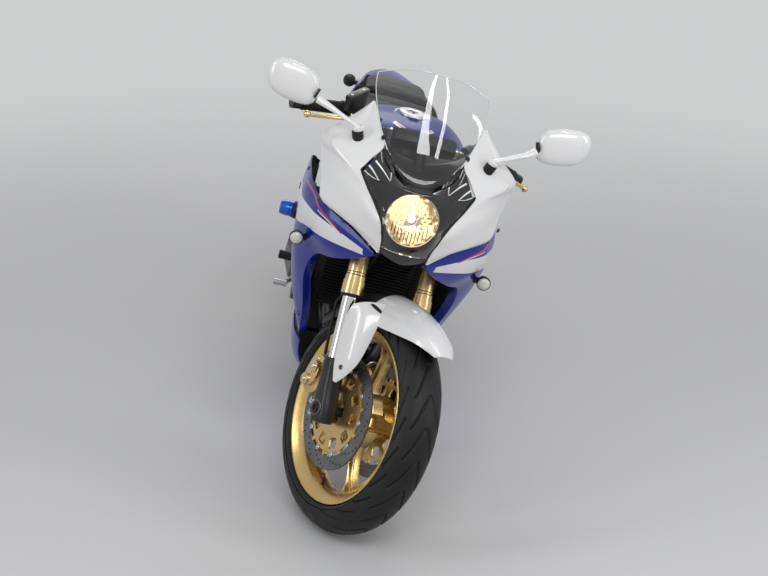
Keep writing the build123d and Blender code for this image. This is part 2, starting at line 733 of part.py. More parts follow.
with BuildPart() as drive_chain:
    for x in (chain_x - plate_gap - plate_thick, chain_x + plate_gap):
        with BuildSketch(Plane(origin=(x, 0, 0), x_dir=(0, 1, 0), z_dir=(1, 0, 0))):
            with BuildLine():
                Polyline(*plate_edge(1), close=True)
            make_face()
            with BuildLine():
                Polyline(*plate_edge(-1), close=True)
            make_face(mode=Mode.SUBTRACT)
        extrude(amount=plate_thick)
    with BuildSketch(Plane(origin=(chain_x - plate_gap, 0, 0), x_dir=(0, 1, 0), z_dir=(1, 0, 0))):
        with Locations(*[chain_at(i / link_count)[:2] for i in range(link_count)]):
            RegularPolygon(roller_r, 6)
    extrude(amount=2 * plate_gap)
keep("drive_chain", drive_chain)
guard_line = [(1010, 462), (1150, 462), (1330, 446), (1440, 446), (1440, 454), (1330, 454), (1150, 470), (1010, 470)]
with BuildPart() as chain_guard:
    with BuildSketch(Plane(origin=(92, 0, 0), x_dir=(0, 1, 0), z_dir=(1, 0, 0))):
        with BuildLine():
            Polyline(*guard_line, close=True)
        make_face()
    extrude(amount=26)
    with BuildSketch(Plane(origin=(118, 0, 0), x_dir=(0, 1, 0), z_dir=(1, 0, 0))):
        with BuildLine():
            Polyline((1010, 470), (1150, 470), (1330, 454), (1440, 454), (1440, 430), (1330, 420),
                     (1210, 432), (1150, 450), close=True)
        make_face()
    extrude(amount=3)
keep("chain_guard", chain_guard)

# Rear caliper over the disc, above the right arm
with BuildPart() as rear_caliper:
    lift = Plane(origin=(rear_disc_x - 18, wheelbase, rear_tyre_radius), z_dir=(1, 0, 0),
                 x_dir=(0, math.cos(math.radians(122)), math.sin(math.radians(122))))
    with BuildSketch(lift):
        with BuildLine():
            Polyline((78, -30), (78, 30), (96, 40), (126, 36), (138, 18), (138, -18), (126, -36), (96, -40), close=True)
        make_face()
    extrude(amount=42)
    with BuildSketch(Plane(origin=(rear_disc_x - 7.5, wheelbase, rear_tyre_radius), z_dir=(1, 0, 0))):
        Circle(126)
    extrude(amount=15, mode=Mode.SUBTRACT)
keep("rear_caliper", rear_caliper)

# Fuel tank sections: y, base half width, base z, widest half width, its z, shoulder half width, its z, top z
tank_rows = [
    (392, 96, 832, 118, 858, 80, 884, 892),
    (450, 128, 816, 160, 862, 104, 912, 926),
    (540, 140, 800, 180, 860, 106, 926, 940),
    (640, 130, 792, 176, 850, 104, 922, 936),
    (740, 104, 786, 144, 832, 86, 892, 906),
    (820, 84, 786, 108, 816, 68, 856, 866),
    (862, 72, 786, 86, 810, 58, 832, 838),
]


def tank_section(row):
    y, wb, zb, wm, zm, ws, zs, zt = row
    right = [(wb, zb), (wm, zm), ((wm + ws) / 2 + 9, (zm + zs) / 2 + 8), (ws, zs), (ws * 0.45, zt - (zt - zs) * 0.12)]
    return [(x, y, z) for x, z in right] + [(-x, y, z) for x, z in reversed(right)]


cap_y, cap_z = 582.0, 935.0
with BuildPart() as fuel_tank:
    add(block([tank_section(r) for r in tank_rows]))
    with BuildSketch(Plane(origin=(0, cap_y, cap_z - 24))):
        Circle(54)
    extrude(amount=28)
    with BuildSketch(Plane(origin=(0, cap_y, cap_z - 22))):
        Circle(26)
    extrude(amount=60, mode=Mode.SUBTRACT)
keep("fuel_tank", fuel_tank)
with BuildPart() as fuel_cap:
    with BuildSketch(Plane(origin=(0, cap_y, cap_z + 4.5))):
        Circle(40)
    extrude(amount=9)
    with Locations((0, cap_y - 46, cap_z + 10)):
        Cylinder(5, 26, rotation=(0, 90, 0))
    with Locations((0, cap_y - 40, cap_z + 9)):
        Box(22, 12, 8)
keep("fuel_cap", fuel_cap)

# Seats: y, half width low, z low, half width high, z high
rider_rows = [(868, 66, 802, 60, 834), (920, 98, 772, 84, 806), (1010, 124, 766, 104, 800),
              (1100, 132, 784, 112, 806), (1172, 128, 796, 104, 824)]
pillion_rows = [(1180, 104, 806, 90, 832), (1300, 98, 806, 86, 838), (1400, 84, 790, 72, 815), (1466, 60, 784, 48, 799)]


def seat_section(row):
    y, wl, zl, wh, zh = row
    right = [(wl - 6, zl), (wl, zl + 10), (wh + 6, zh - 6), (wh * 0.6, zh)]
    return [(x, y, z) for x, z in right] + [(-x, y, z) for x, z in reversed(right)]


with BuildPart() as rider_seat:
    add(block([seat_section(r) for r in rider_rows]))
keep("rider_seat", rider_seat)
with BuildPart() as pillion_seat:
    add(block([seat_section(r) for r in pillion_rows]))
keep("pillion_seat", pillion_seat)

# Tail cowl, each side: y, then top, middle and bottom points (x, z)
tail_rows = [
    (800, (92, 786), (104, 752), (98, 706)),
    (900, (108, 762), (118, 730), (106, 688)),
    (1010, (136, 756), (142, 728), (120, 690)),
    (1120, (144, 782), (150, 752), (122, 706)),
    (1180, (136, 802), (144, 768), (118, 716)),
    (1300, (108, 806), (124, 778), (100, 728)),
    (1430, (90, 796), (104, 772), (82, 728)),
    (1560, (66, 782), (80, 762), (62, 728)),
    (1650, (40, 768), (48, 754), (38, 730)),
]
with BuildPart() as tail_cowl:
    side_piece = shell([[(a[0], y, a[1]), (m[0], y, m[1]), (b[0], y, b[1])] for y, a, m, b in tail_rows],
                       panel_t, (-1, 0, -0.25))
    add(side_piece)
    add(mirrored(side_piece))
    add(block([[(-80, 1470, 786), (80, 1470, 786), (80, 1470, 791), (-80, 1470, 791)],
               [(-66, 1560, 780), (66, 1560, 780), (60, 1560, 792), (-60, 1560, 792)],
               [(-40, 1652, 762), (40, 1652, 762), (34, 1652, 772), (-34, 1652, 772)]]))
keep("tail_cowl", tail_cowl)
# Under-tray sections: y, half width, z of its floor
tray_rows = [(1000, 64, 713), (1100, 70, 726), (1300, 58, 752), (1480, 56, 752), (1640, 34, 758)]
with BuildPart() as tail_lamp:
    add(block([[(-38, 1626, 734), (38, 1626, 734), (42, 1626, 758), (-42, 1626, 758)],
               [(-32, 1656, 734), (32, 1656, 734), (38, 1656, 759), (-38, 1656, 759)],
               [(-22, 1672, 739), (22, 1672, 739), (28, 1672, 755), (-28, 1672, 755)]]))
keep("tail_lamp", tail_lamp)

# Rear mudguard hanger and blank plate
hanger_rows = [(1480, 46, 716), (1580, 44, 722), (1690, 40, 700), (1770, 40, 612), (1812, 46, 528)]
with BuildPart() as rear_mudguard:
    add(block([[(-w, y, z - 34), (w, y, z - 34), (w, y, z - 38), (-w, y, z - 38)] for y, w, z in tray_rows]))
    add(block([[(-w, y, z), (w, y, z), (w * 0.94, y + 4, z - 9), (-w * 0.94, y + 4, z - 9)] for y, w, z in hanger_rows]))
keep("rear_mudguard", rear_mudguard)
plate_plane = Plane(origin=(0, 1796, 624), x_dir=(1, 0, 0), z_dir=(0, 0.925, 0.38))
with BuildPart() as number_plate:
    with BuildSketch(plate_plane):
        RectangleRounded(180, 140, 8)
    extrude(amount=3)
keep("number_plate", number_plate)

# White upper cowl, right half mirrored for the left: height, inner edge (x, y), crease, outer edge
cheek_rows = [
    (767, (58, -62), (59, -61), (61, -58)),
    (790, (61, -72), (78, -62), (133, 15)),
    (816, (66, -80), (112, -40), (217, 88)),
    (850, (76, -84), (124, -32), (226, 113)),
    (876, (97, -46), (132, -16), (232, 131)),
    (900, (121, -6), (146, 20), (239, 146)),
    (925, (146, 44), (172, 58), (245, 157)),
    (952, (126, 62), (208, 102), (249, 164)),
    (988, (101, 90), (160, 134), (212, 178)),
    (1020, (121, 143), (150, 166), (178, 190)),
    (1055, (141, 199), (143, 200), (146, 203)),
]
boot_low, boot_high = Vector(161, 121, 966), Vector(171.5, 119, 995)
boot_axis = (boot_high - boot_low).normalized()
with BuildPart() as cheek_part:
    add(shell([[(a[0], a[1], z), (m[0], m[1], z), (b[0], b[1], z)] for z, a, m, b in cheek_rows], panel_t, (-0.6, 1, 0)))
    with BuildSketch(Plane(origin=boot_low - boot_axis * 30, z_dir=boot_axis)):
        Circle(17)
    extrude(amount=70, mode=Mode.SUBTRACT)
with BuildPart() as upper_cowls:
    add(cheek_part.part)
    add(mirrored(cheek_part.part))
keep("upper_cowls", upper_cowls)

# Clear lens over the headlight: height, edge (x, y), quarter (x, y), centre y
lens_rows = [
    (786, (56, -68), (34, -84), -88),
    (815, (62, -79), (38, -100), -106),
    (850, (71, -86), (42, -104), -110),
    (876, (92, -49), (52, -82), -94),
    (900, (116, -10), (64, -48), -64),
    (922, (138, 34), (76, -6), -24),
]
with BuildPart() as headlight_lens:
    add(Solid.make_loft([
        Wire.make_polygon([Vector(*p) for p in
                           [(-e[0], e[1], z), (-q[0], q[1], z), (0, c, z), (q[0], q[1], z), (e[0], e[1], z),
                            (e[0] - 3, e[1] + 4, z), (q[0] - 1, q[1] + 4, z), (0, c + 4, z), (-q[0] + 1, q[1] + 4, z),
                            (-e[0] + 3, e[1] + 4, z)]])
        for z, e, q, c in lens_rows
    ], ruled=True))
keep("headlight_lens", headlight_lens)

# Chin sections: z, half width, edge y, centre y
chin_rows = [(752, 26, -48, -66), (764, 46, -56, -80), (783, 54, -66, -86)]
# Dark housing behind the lens, an open bowl, and the chin below it
with BuildPart() as headlight_housing:
    add(block([[(-46, -62, 786), (46, -62, 786), (52, 40, 786), (-52, 40, 786)],
               [(-54, -70, 830), (54, -70, 830), (70, 60, 830), (-70, 60, 830)],
               [(-76, -48, 876), (76, -48, 876), (90, 90, 876), (-90, 90, 876)],
               [(-112, 34, 918), (112, 34, 918), (100, 120, 918), (-100, 120, 918)]]))
    add(block([[(-38, -58, 798), (38, -58, 798), (44, 34, 798), (-44, 34, 798)],
               [(-48, -78, 830), (48, -78, 830), (64, 54, 830), (-64, 54, 830)],
               [(-72, -80, 868), (72, -80, 868), (82, 84, 868), (-82, 84, 868)],
               [(-104, -20, 914), (104, -20, 914), (92, 40, 914), (-92, 40, 914)]]), mode=Mode.SUBTRACT)
    add(block([[(-w, e, z), (-w * 0.5, c, z), (w * 0.5, c, z), (w, e, z), (w * 0.8, 30, z), (-w * 0.8, 30, z)]
               for z, w, e, c in chin_rows]))
keep("headlight_housing", headlight_housing)
with BuildPart() as headlight_reflector:
    with BuildSketch(Plane(origin=(0, 26, 846), z_dir=(0, -0.985, 0.17))):
        Circle(44)
    extrude(amount=42)
    with BuildSketch(Plane(origin=(0, 20, 847), z_dir=(0, -0.985, 0.17))):
        Circle(22)
    with BuildSketch(Plane(origin=(0, -16, 853), z_dir=(0, -0.985, 0.17))):
        Circle(40)
    loft(mode=Mode.SUBTRACT)
keep("headlight_reflector", headlight_reflector)

# Screen rows: side edge (x, y, z), quarter (x, y, z), centre (y, z)
screen_rows = [
    ((34, 27, 926), (18, 22, 923), (20, 922)),
    ((78, 59, 962), (44, 36, 948), (30, 942)),
    ((100, 91, 991), (57, 60, 974), (52, 968)),
    ((120, 145, 1024), (69, 108, 1014), (98, 1010)),
    ((138, 203, 1058), (79, 158, 1062), (146, 1062)),
    ((152, 276, 1092), (88, 214, 1110), (200, 1112)),
    ((104, 278, 1128), (58, 256, 1142), (248, 1148)),
]


def screen_section(row):
    e, q, c = row
    return [(-e[0], e[1], e[2]), (-q[0], q[1], q[2]), (0, c[0], c[1]), (q[0], q[1], q[2]), (e[0], e[1], e[2])]


with BuildPart() as windscreen:
    strips = []
    for row in screen_rows:
        front = [Vector(*p) for p in screen_section(row)]
        plane_normal = (front[4] - front[0]).cross(front[2] - front[0]).normalized()
        inward = plane_normal.cross(Vector(1, 0, 0)).normalized()
        if inward.Y < 0:
            inward = -inward
        mid = front[2]
        flat = [p - plane_normal * (p - mid).dot(plane_normal) for p in front]
        rear = [p + inward * 3.2 for p in reversed(flat)]
        strips.append(Wire.make_polygon(flat + rear))
    add(Solid.make_loft(strips, ruled=True))
keep("windscreen", windscreen)
with BuildPart() as instrument:
    add(block([[(-84, 150, 960), (84, 150, 960), (72, 164, 1012), (-72, 164, 1012)],
               [(-84, 192, 950), (84, 192, 950), (72, 206, 1020), (-72, 206, 1020)]]))
    add(rod([(0, 168, 958), (0, 128, 922)], 16))
keep("instrument", instrument)

# Blue side cowl, right half mirrored: y, then points (x, z) from the top edge down
side_rows = [
    (-34, (66, 754), (67, 752), (67, 750), (66, 748), (65, 746)),
    (20, (128, 780), (132, 770), (132, 756), (124, 730), (106, 706)),
    (90, (206, 802), (212, 784), (212, 756), (194, 710), (152, 668)),
    (150, (224, 806), (236, 780), (238, 742), (222, 694), (186, 645)),
    (230, (242, 812), (254, 778), (254, 720), (241, 640), (198, 557)),
    (300, (248, 816), (258, 762), (254, 690), (234, 560), (172, 424)),
    (360, (249, 812), (257, 755), (250, 670), (226, 510), (160, 330)),
    (430, (246, 806), (250, 745), (243, 660), (218, 500), (156, 318)),
    (500, (236, 786), (240, 730), (234, 650), (212, 520), (168, 386)),
    (560, (226, 762), (229, 735), (226, 700), (218, 650), (208, 606)),
    (620, (212, 738), (213, 733), (213, 728), (212, 723), (211, 718)),
]
with BuildPart() as side_cowl_part:
    add(shell([[(x, y, z) for x, z in pts] for y, *pts in side_rows], panel_t, (-1, 0, 0)))
    with BuildSketch(Plane(origin=(180, 482, 627), z_dir=(1, 0, 0))):
        Circle(29)
    extrude(amount=100, mode=Mode.SUBTRACT)
with BuildPart() as side_cowls:
    add(side_cowl_part.part)
    add(mirrored(side_cowl_part.part))
keep("side_cowls", side_cowls)

# Belly cowl: y, rim half width, rim z, flank half width, flank z, floor half width, floor z
belly_rows = [
    (372, 152, 300, 142, 250, 92, 222),
    (430, 166, 300, 156, 240, 104, 198),
    (520, 170, 290, 162, 234, 108, 192),
    (640, 168, 276, 158, 230, 106, 190),
    (735, 156, 256, 148, 226, 100, 192),
]


def belly_section(row):
    y, wr, zr, wf, zf, wl, zl = row
    t = panel_t
    outer = [(-wr, zr), (-wf, zf), (-wl, zl), (wl, zl), (wf, zf), (wr, zr)]
    inner = [(wr - t, zr), (wf - t, zf + 1), (wl - 2, zl + t), (-wl + 2, zl + t), (-wf + t, zf + 1), (-wr + t, zr)]
    return [(x, y, z) for x, z in outer + inner]


with BuildPart() as belly_cowl:
    add(block([belly_section(r) for r in belly_rows]))
keep("belly_cowl", belly_cowl)

# Mirrors: boot, arm, housing with its glass, each set its own way
mirror_places = {-1: Vector(-350, 150, 1064), 1: Vector(336, 150, 1072)}
# Housing slices across its width: x outward from the centre, half depth, half height
mirror_rows = [(-64, 10, 24), (-52, 18, 40), (-10, 24, 48), (34, 22, 46), (56, 15, 34), (64, 8, 20)]
mirror_tilt = 0.17


def mirror_slice(side, dx, depth, high):
    """Housing slice: rounded front shell, flat back."""
    at = mirror_places[side]
    pts = [(0.0, high), (-depth * 0.7, high * 0.8), (-depth, high * 0.25), (-depth, -high * 0.35),
           (-depth * 0.7, -high * 0.85), (0.0, -high)]
    return [(at.X + side * dx, at.Y + y + 10, at.Z + z + dx * mirror_tilt) for y, z in pts]


# Arm sections outward from the ring: x, y, z, half depth, half height
mirror_arm_rows = [(166, 118, 1008, 11, 6), (190, 120, 1009, 9, 6), (236, 130, 1015, 8, 6.5), (270, 146, 1025, 9, 12)]
with BuildPart() as mirrors:
    for side in (-1, 1):
        add(block([mirror_slice(side, dx, d, h) for dx, d, h in mirror_rows]))
    one_arm = block([[(x, y - d, z - h * 0.5), (x, y - d, z + h * 0.5), (x, y - d * 0.5, z + h), (x, y + d * 0.5, z + h),
                      (x, y + d, z + h * 0.5), (x, y + d, z - h * 0.5), (x, y + d * 0.5, z - h), (x, y - d * 0.5, z - h)]
                     for x, y, z, d, h in mirror_arm_rows])
    add(one_arm)
    add(mirrored(one_arm))
keep("mirrors", mirrors)
with BuildPart() as mirror_boots:
    for side in (-1, 1):
        low = Vector(side * boot_low.X, boot_low.Y, boot_low.Z)
        run = Vector(side * boot_axis.X, boot_axis.Y, boot_axis.Z)
        with BuildSketch(Plane(origin=low, z_dir=run)):
            Circle(14)
        extrude(amount=(boot_high - boot_low).length)
keep("mirror_boots", mirror_boots)
with BuildPart() as mirror_glasses:
    for side in (-1, 1):
        at = mirror_places[side]
        add(block([[(at.X + side * dx, at.Y + 10.4 + k, at.Z + z + dx * mirror_tilt)
                    for k, z in ((0, h - 4), (0, -h + 4), (2, -h + 4), (2, h - 4))]
                   for dx, h in ((-56, 36), (-40, 43), (0, 47), (40, 42), (54, 34))]))
keep("mirror_glasses", mirror_glasses)

# Indicators: front pair on the side cowls, rear pair on the mudguard hanger
with BuildPart() as indicators:
    for side in (-1, 1):
        add(rod([(side * 34, 1690, 694), (side * 104, 1690, 694)], 8))
        with BuildSketch(Plane(origin=(side * 118, 1672, 694), z_dir=(0, 1, 0))):
            Circle(24)
        extrude(amount=34)
        with BuildSketch(Plane(origin=(side * 250, 169, 673), z_dir=(0, -1, 0))):
            Circle(21)
        extrude(amount=30)
        add(rod([(side * 232, 158, 673), (side * 240, 158, 673)], 8))
    add(rear_mudguard.part, mode=Mode.SUBTRACT)
keep("indicators", indicators)

# Crash bobbins: black base, blue barrel
with BuildPart() as crash_bobbins:
    for side in (-1, 1):
        with BuildSketch(Plane(origin=(side * 222, 482, 627), z_dir=(side, 0, 0))):
            Circle(27)
        extrude(amount=32)
        with BuildSketch(Plane(origin=(side * 254, 482, 627), z_dir=(side, 0, 0))):
            Circle(22)
        extrude(amount=37, taper=6)
keep("crash_bobbins", crash_bobbins)

# Footrests: hanger plate, peg; pedals
with BuildPart() as footrest_hangers:
    for x in (140, -148):
        with BuildSketch(Plane(origin=(x, 0, 0), x_dir=(0, 1, 0), z_dir=(1, 0, 0))):
            with BuildLine():
                Polyline((836, 470), (870, 468), (892, 400), (868, 330), (838, 322), (818, 342), (824, 400), close=True)
            make_face()
        extrude(amount=8)
keep("footrest_hangers", footrest_hangers)
with BuildPart() as pedals:
    add(rod([(-160, 838, 308), (-204, 775, 296), (-214, 702, 318)], 7, 20))
    add(rod([(-206, 700, 319), (-244, 700, 319)], 9))
    add(rod([(160, 838, 308), (196, 786, 304), (204, 710, 322)], 7, 20))
    add(rod([(196, 708, 323), (236, 708, 323)], 9))
keep("pedals", pedals)
with BuildPart() as footrests:
    for side in (-1, 1):
        with BuildSketch(Plane(origin=(side * 148.3, 842, 350), z_dir=(side, 0, 0))):
            Circle(13)
        extrude(amount=94)
        add(rod([(side * 124, 1016, 630), (side * 146, 1080, 500)], 9))
        add(rod([(side * 140, 1082, 494), (side * 222, 1084, 494)], 11))
keep("footrests", footrests)

# Side stand: an eye on a bolt through its bracket, foot on the ground in the parked stance
with BuildPart() as side_stand:
    with BuildSketch(Plane(origin=stand_pivot - stand_axis * 11, z_dir=stand_axis)):
        Circle(16)
    extrude(amount=22)
    add(rod([tuple(stand_pivot), tuple(stand_foot)], 11))
    add(rod([tuple(stand_foot + Vector(0, -22, 0)), tuple(stand_foot + Vector(0, 22, 0))], 9))
    with BuildSketch(Plane(origin=stand_pivot - stand_axis * 12, z_dir=stand_axis)):
        Circle(6.4)
    extrude(amount=24, mode=Mode.SUBTRACT)
keep("side_stand", side_stand)

# Parked stance: pitch until both tyres stand, lean, settle, then the origin under the middle
c_l, s_l = math.cos(math.radians(lean_deg)), math.sin(math.radians(lean_deg))
c_p, s_p = math.cos(math.radians(pitch_deg)), math.sin(math.radians(pitch_deg))
lean_x = (c_l, 0, -s_l)
lean_z = (s_l * c_p, -s_p, c_l * c_p)
stance = Plane(origin=(0, 0, settle_z), x_dir=lean_x, z_dir=lean_z)
placed = {}
for name, piece in pieces.items():
    if name in steered:
        piece = piece.rotate(steering_axis, steer_stop_deg)
    placed[name] = piece.moved(stance.location)
boxes = [p.bounding_box() for p in placed.values()]
mid_x = (min(b.min.X for b in boxes) + max(b.max.X for b in boxes)) / 2
mid_y = (min(b.min.Y for b in boxes) + max(b.max.Y for b in boxes)) / 2
low_z = min(b.min.Z for b in boxes)
print("origin shift", round(mid_x, 3), round(mid_y, 3), round(low_z, 3))
for name, piece in placed.items():
    piece = piece.moved(Location((-mid_x, -mid_y, 0)))
    piece.label = name
    export_step(piece, f"parts/{name}.step")
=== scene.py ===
import json
import math

import bmesh
import bpy
import numpy as np
from mathutils import Matrix, Vector
from mathutils.bvhtree import BVHTree


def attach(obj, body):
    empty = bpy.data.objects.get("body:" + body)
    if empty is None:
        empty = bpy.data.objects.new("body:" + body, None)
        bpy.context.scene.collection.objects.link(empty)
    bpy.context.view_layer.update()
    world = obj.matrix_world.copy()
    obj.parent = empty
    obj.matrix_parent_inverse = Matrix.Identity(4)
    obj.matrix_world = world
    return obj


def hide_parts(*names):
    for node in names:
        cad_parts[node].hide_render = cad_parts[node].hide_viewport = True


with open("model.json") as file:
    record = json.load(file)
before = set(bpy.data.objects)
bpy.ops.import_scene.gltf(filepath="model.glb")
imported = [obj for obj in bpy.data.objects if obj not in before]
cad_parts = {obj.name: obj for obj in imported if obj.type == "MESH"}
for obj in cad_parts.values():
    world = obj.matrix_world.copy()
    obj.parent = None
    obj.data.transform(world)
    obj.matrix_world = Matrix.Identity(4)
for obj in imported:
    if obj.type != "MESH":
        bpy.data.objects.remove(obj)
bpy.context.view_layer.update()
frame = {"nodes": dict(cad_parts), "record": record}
nodes = frame["nodes"]
scene = bpy.context.scene
MM = 0.001
sides = (-1, 1)
# Least radius of a turned body, so that its centre keeps separate points, and thickness of the painted covers
centre_r = 0.01
skin = 3.2

# Upright frame of the machine, from the joints: x left, y back, z up, in metres
joints = {j["name"]: j for j in frame["record"]["behaviour"]["joints"]}
wheelbase, rear_radius = 1.437, 0.315
trail, caster = 0.099, math.radians(25.0)
steer_stop = math.radians(27.46)
left = Vector(joints["rear_wheel_spin"]["axis"])
steer_up = -Vector(joints["steering"]["axis"])
cross = left.cross(steer_up)
up = math.cos(caster) * steer_up + math.sin(caster) * cross
back = math.sin(caster) * steer_up - math.cos(caster) * cross
turn = Matrix((left, back, up)).transposed().to_4x4()
shift = Vector(joints["rear_wheel_spin"]["pos_m"]) - turn.to_3x3() @ Vector((0, wheelbase, rear_radius))
body_m = Matrix.Translation(shift) @ turn
head = Vector((0, -trail, 0))
steer_dir = Vector((0, math.sin(caster), math.cos(caster)))
steer_m = body_m @ Matrix.Translation(head) @ Matrix.Rotation(steer_stop, 4,
        steer_dir) @ Matrix.Translation(-head)
places = {"chassis": body_m, "side_stand": body_m, "fuel_cap": body_m, "rear_wheel": body_m,
          "steering": steer_m, "front_wheel": steer_m}
front_axle = (0, 0, 300)
rear_axle = (0, 1437, 315)


# Materials
def set_inputs(node, **values):
    """Sets the inputs of a shader node by name; an underscore stands for a space."""
    for name, value in values.items():
        node.inputs[name.replace("_", " ")].default_value = value


def add_node(nt, kind, **values):
    node = nt.nodes.new("ShaderNode" + kind)
    set_inputs(node, **values)
    return node


def tree(name):
    m = bpy.data.materials.new(name)
    m.use_nodes = True
    nt = m.node_tree
    return m, nt, nt.nodes["Principled BSDF"]


def ramp(nt, source, low, high, a, b):
    """Maps a value between two positions onto two colours."""
    r = add_node(nt, "ValToRGB")
    r.color_ramp.elements[0].position = low
    r.color_ramp.elements[1].position = high
    r.color_ramp.elements[0].color = (*a, 1)
    r.color_ramp.elements[1].color = (*b, 1)
    nt.links.new(source, r.inputs["Fac"])
    return r.outputs["Color"]


def noise(nt, scale, detail=4.0, stretch=(1, 1, 1)):
    co = add_node(nt, "TexCoord")
    mp = add_node(nt, "Mapping", Scale=stretch)
    n = add_node(nt, "TexNoise", Scale=scale, Detail=detail)
    nt.links.new(co.outputs["Object"], mp.inputs["Vector"])
    nt.links.new(mp.outputs["Vector"], n.inputs["Vector"])
    return n.outputs["Fac"]


def scaled(c, k):
    return tuple(min(1.0, v * k) for v in c)


def surface(name, color, rough, metallic=0.0, coat=0.0, vary=0.06, vary_scale=9.0, grain=900.0,
            grain_depth=0.0, rough_vary=0.05, spec=0.5, emit=None, stretch=(1, 1, 1), sheen=0.0, soft=0.0):
    """A finish with slow colour drift, roughness drift, fine grain and softened edges."""
    m, nt, bsdf = tree(name)
    slow = noise(nt, vary_scale, 5.0, stretch)
    nt.links.new(ramp(nt, slow, 0.3, 0.7, scaled(color, 1 - vary), scaled(color, 1 + vary)),
                 bsdf.inputs["Base Color"])
    mid = noise(nt, vary_scale * 4, 3.0, stretch)
    r0, r1 = max(0.0, rough - rough_vary), min(1.0, rough + rough_vary)
    nt.links.new(ramp(nt, mid, 0.25, 0.75, (r0, r0, r0), (r1, r1, r1)), bsdf.inputs["Roughness"])
    set_inputs(bsdf, Metallic=metallic, Coat_Weight=coat, Coat_Roughness=0.03, Specular_IOR_Level=spec)
    if sheen:
        set_inputs(bsdf, Sheen_Weight=sheen)
    edge = None
    if soft:
        bevel = add_node(nt, "Bevel", Radius=soft * MM)
        bevel.samples = 4
        edge = bevel.outputs["Normal"]
    if grain_depth:
        b = add_node(nt, "Bump", Strength=0.35, Distance=grain_depth)
        nt.links.new(noise(nt, grain, 2.0, stretch), b.inputs["Height"])
        if edge:
            nt.links.new(edge, b.inputs["Normal"])
        edge = b.outputs["Normal"]
    if edge:
        nt.links.new(edge, bsdf.inputs["Normal"])
    if emit:
        set_inputs(bsdf, Emission_Color=(*emit[0], 1), Emission_Strength=emit[1])
    return m


def clear(name, color, rough, ior):
    m, nt, bsdf = tree(name)
    nt.links.new(ramp(nt, noise(nt, 14.0), 0.3, 0.7, scaled(color, 0.97), color), bsdf.inputs["Base Color"])
    set_inputs(bsdf, Roughness=rough, IOR=ior, Transmission_Weight=1.0)
    return m


blue = (0.006, 0.018, 0.27)
mats = {
    "tyre": surface("tyre_rubber", (0.011, 0.011, 0.012), 0.50, spec=0.28, vary=0.25, vary_scale=14,
                    grain=420, grain_depth=0.0003),
    "gold_rim": surface("gold_cast", (0.66, 0.46, 0.18), 0.28, 0.9, 0.2, vary=0.06, grain=1500,
                        grain_depth=0.00004,
                        soft=1.5),
    "disc_steel": surface("disc_steel", (0.17, 0.17, 0.175), 0.36, 0.9, vary=0.15, vary_scale=30, grain=500,
                          grain_depth=0.0002, soft=0.5),
    "dark_steel": surface("dark_steel", (0.12, 0.12, 0.125), 0.38, 0.9, vary=0.2, vary_scale=40, grain=500,
                          grain_depth=0.0002, soft=0.6),
    "black_metal": surface("black_powder", (0.011, 0.011, 0.012), 0.36, 0.0, 0.1, spec=0.35, vary=0.15,
                           grain=900,
                           grain_depth=0.0003, soft=1.2),
    "chrome": surface("hard_chrome", (0.78, 0.78, 0.79), 0.10, 1.0, vary=0.03, rough_vary=0.03, grain=600,
                      grain_depth=0.00005),
    "gold_anodised": surface("gold_anodised", (0.70, 0.52, 0.25), 0.24, 0.95, vary=0.06, grain=1400,
                             grain_depth=0.00003,
                             soft=0.8),
    "alloy": surface("satin_alloy", (0.50, 0.50, 0.51), 0.36, 0.95, vary=0.08, grain=700,
                     grain_depth=0.0002, soft=1.2),
    "white_gloss": surface("white_paint", (0.78, 0.78, 0.785), 0.22, 0.0, 0.8, vary=0.012, vary_scale=3,
                           rough_vary=0.02),
    "blue_gloss": surface("blue_paint", blue, 0.26, 0.0, 0.3, spec=0.25, vary=0.08, vary_scale=4,
                          rough_vary=0.03, grain=2500,
                          grain_depth=0.00005),
    "tank_blue": surface("tank_paint", scaled(blue, 0.8), 0.30, 0.0, 0.1, spec=0.12, vary=0.08,
                         vary_scale=4, rough_vary=0.03, grain=2500,
                         grain_depth=0.00005),
    "black_rubber": surface("black_rubber", (0.010, 0.010, 0.010), 0.55, spec=0.3, vary=0.15, grain=700,
                            grain_depth=0.0004),
    "black_plastic": surface("black_plastic", (0.010, 0.010, 0.011), 0.42, spec=0.35, vary=0.15, grain=1200,
                             grain_depth=0.0003,
                             soft=0.8),
    "grey_plastic": surface("grained_plastic", (0.035, 0.035, 0.037), 0.5, vary=0.12, grain=1300,
                            grain_depth=0.0004,
                            soft=0.8),
    "engine_paint": surface("engine_paint", (0.02, 0.02, 0.021), 0.45, 0.1, vary=0.2, grain=500,
                            grain_depth=0.0006,
                            soft=3.0),
    "seat_cover": surface("seat_cover", (0.012, 0.012, 0.013), 0.62, spec=0.25, vary=0.2, grain=420,
                          grain_depth=0.0007, sheen=0.1),
    "lamp_red": surface("red_lamp", (0.45, 0.008, 0.01), 0.10, coat=0.8, vary=0.08, vary_scale=60),
    "lamp_clear": surface("clear_lamp", (0.62, 0.60, 0.55), 0.10, coat=0.9, vary=0.1, vary_scale=80),
    # The reflector finish also gets painted glints, an emission set further down
    "reflector": surface("reflector_with_painted_glints", (0.82, 0.68, 0.46), 0.10, 1.0, vary=0.1, vary_scale=60),
    "plate_white": surface("plate_white", (0.78, 0.78, 0.77), 0.35, vary=0.03, grain=600,
                           grain_depth=0.0002),
    "mirror_glass": surface("mirror_glass", (0.85, 0.86, 0.88), 0.02, 1.0, vary=0.01, rough_vary=0.01),
    "blue_anodised": surface("blue_anodised", (0.03, 0.12, 0.55), 0.22, 0.85, 0.3, vary=0.05, grain=900,
                             grain_depth=0.0001, soft=1.0),
    "clear_screen": clear("clear_screen", (0.97, 0.975, 0.98), 0.0, 1.45),
}
